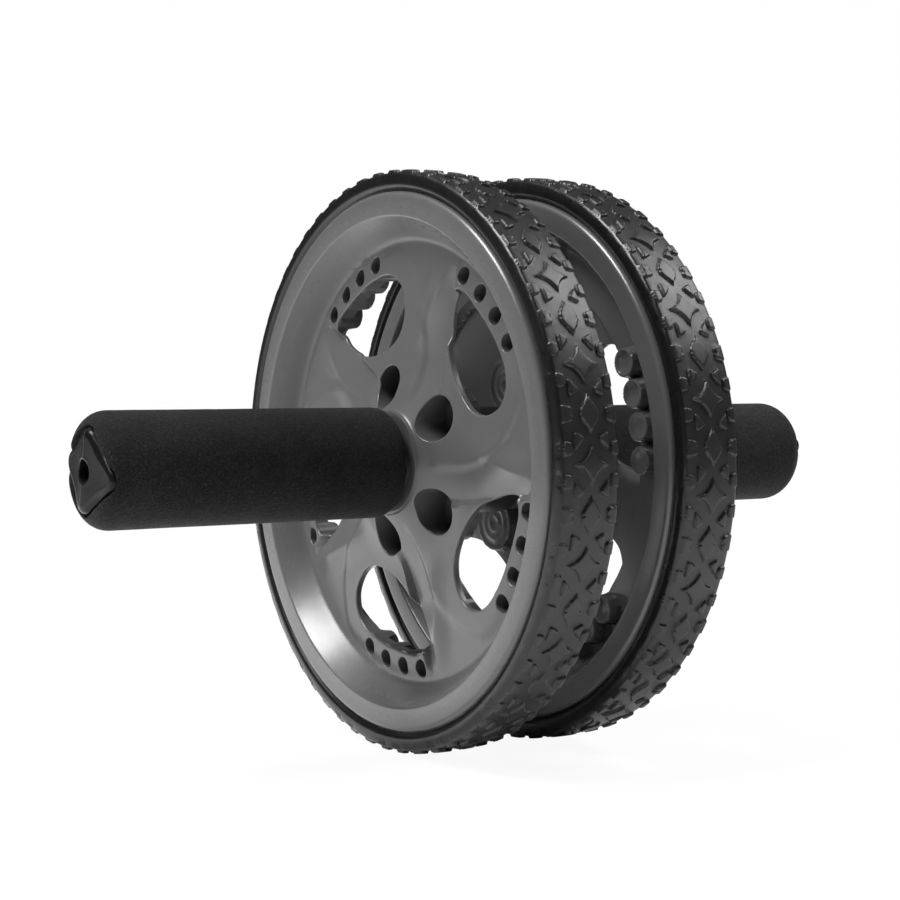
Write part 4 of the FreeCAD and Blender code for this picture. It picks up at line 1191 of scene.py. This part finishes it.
class ROLLER_OT_stage(bpy.types.Operator):
    """Set the floor, the lights, the white surroundings and the camera"""
    bl_idname = "roller.stage"
    bl_label = "Stage"

    # Each light's name, place and size, and whether gloss shows it. All look at one spot.
    LIGHTS = (("left_softbox", (-0.95, 0.17, 1.72), (0.75, 0.75), True),
              ("right_softbox", (0.62, -0.30, 0.80), (0.5, 0.35), True),
              ("top_softbox", (-0.1, 0.35, 1.3), (1.2, 1.2), True),
              ("left_fill", (-1.2, 0.9, 0.6), (0.8, 0.8), False),
              ("right_fill", (1.2, 0.9, 0.6), (0.8, 0.8), False))
    LIT_SPOT = Vector((0.0, 0.0, 0.09))
    CAMERA_PLACE = (-0.34647, -0.49630, 0.11781)
    CAMERA_WAY = Vector((0.56278, 0.82572, -0.03828))
    FLOOR_REACH = 3.0
    WHITE = (1.0, 1.0, 1.0, 1.0)

    def execute(self, context):
        scene = context.scene
        stage = scene.roller_stage
        self.floor(scene, scene.roller_colours.floor)
        self.room(scene, stage.room)
        for name, place, size, in_gloss in self.LIGHTS:
            self.softbox(scene, name, getattr(stage, name), place, size).visible_glossy = in_gloss
        self.camera(scene, stage.lens)
        scene.view_settings.view_transform = "Standard"
        return {"FINISHED"}

    def floor(self, scene, paint):
        """White to the camera, a little greyer near the wheels. The light it sends back fades with distance."""
        reach = self.FLOOR_REACH
        corners = [(-reach, -reach, 0), (reach, -reach, 0), (reach, reach, 0), (-reach, reach, 0)]
        mesh = bpy.data.meshes.new("floor")
        mesh.from_pydata(corners, [], [(0, 1, 2, 3)])
        floor = bpy.data.objects.new("floor", mesh)
        scene.collection.objects.link(floor)
        finish = finish_named("pale_floor")
        places = finish.node("ShaderNodeNewGeometry", output="Position")
        away = finish.node("ShaderNodeVectorMath", {"operation": "LENGTH"}, {0: places}, "Value")
        tint = finish.blend(away.above(0.3, 0.9), paint, shade(paint, 0.5))
        plain = finish.node("ShaderNodeBsdfDiffuse", None, {"Color": tint})
        white = finish.node("ShaderNodeEmission", None, {"Color": self.WHITE, "Strength": 1.0})
        seen, through = [finish.node("ShaderNodeLightPath", output=f"Is {kind} Ray")
                         for kind in ("Camera", "Transmission")]
        whiteness = seen.sum("MAXIMUM", seen, through) * (away.above(0.12, 0.3) * 0.07 + 0.93)
        mixed = finish.node("ShaderNodeMixShader", None, {0: whiteness, 1: plain, 2: white})
        mesh.materials.append(finish.surface(mixed))

    def room(self, scene, strength):
        """White to the camera, with an even light of the given strength."""
        finish = Finish(bpy.data.worlds.new("white_room"), "ShaderNodeOutputWorld")
        lit, white = [finish.node("ShaderNodeBackground", None, {"Color": self.WHITE, "Strength": level})
                      for level in (strength, 1.0)]
        seen = finish.node("ShaderNodeLightPath", output="Is Camera Ray")
        mixed = finish.node("ShaderNodeMixShader", None, {0: seen, 1: lit, 2: white})
        scene.world = finish.surface(mixed)

    def softbox(self, scene, name, watts, place, size):
        light = bpy.data.lights.new(name, "AREA")
        light.shape = "RECTANGLE"
        light.size, light.size_y = size
        light.energy = watts
        lamp = bpy.data.objects.new(name, light)
        lamp.location = place
        lamp.rotation_euler = (self.LIT_SPOT - Vector(place)).to_track_quat("-Z", "Y").to_euler()
        scene.collection.objects.link(lamp)
        return lamp

    def camera(self, scene, lens):
        data = bpy.data.cameras.new("camera")
        data.lens, data.sensor_width = lens, 36.0
        data.clip_start = 0.01
        camera = bpy.data.objects.new("camera", data)
        camera.location = self.CAMERA_PLACE
        camera.rotation_euler = self.CAMERA_WAY.to_track_quat("-Z", "Y").to_euler()
        scene.collection.objects.link(camera)
        scene.camera = camera


class ROLLER_PT_panel(bpy.types.Panel):
    """Lists the roller's pieces"""
    bl_idname = "ROLLER_PT_panel"
    bl_label = "Ab roller"
    bl_space_type = "VIEW_3D"
    bl_region_type = "UI"
    bl_category = "Roller"

    def draw(self, context):
        for operator in OPERATORS:
            self.layout.operator(operator.bl_idname)
        for name in GROUPS:
            box = self.layout.box()
            group = getattr(context.scene, name)
            for size in group.__annotations__:
                box.prop(group, size)


GROUPS = {
    "roller_wheel": RollerWheelSizes,
    "roller_tyre": RollerTyreSizes,
    "roller_grip": RollerGripSizes,
    "roller_cap": RollerCapSizes,
    "roller_colours": RollerColours,
    "roller_stage": RollerStageSizes,
}
OPERATORS = (ROLLER_OT_wheels, ROLLER_OT_tyres, ROLLER_OT_grips, ROLLER_OT_end_caps, ROLLER_OT_hardware,
             ROLLER_OT_stage)


def register():
    for kind in (*GROUPS.values(), *OPERATORS, ROLLER_PT_panel):
        bpy.utils.register_class(kind)
    for name, group in GROUPS.items():
        setattr(bpy.types.Scene, name, PointerProperty(type=group))


def unregister():
    for name in GROUPS:
        delattr(bpy.types.Scene, name)
    for kind in (ROLLER_PT_panel, *OPERATORS, *GROUPS.values()):
        bpy.utils.unregister_class(kind)


def main():
    register()
    for name in ("wheels", "tyres", "grips", "end_caps", "hardware", "stage"):
        getattr(bpy.ops.roller, name)()


if __name__ == "__main__":
    main()
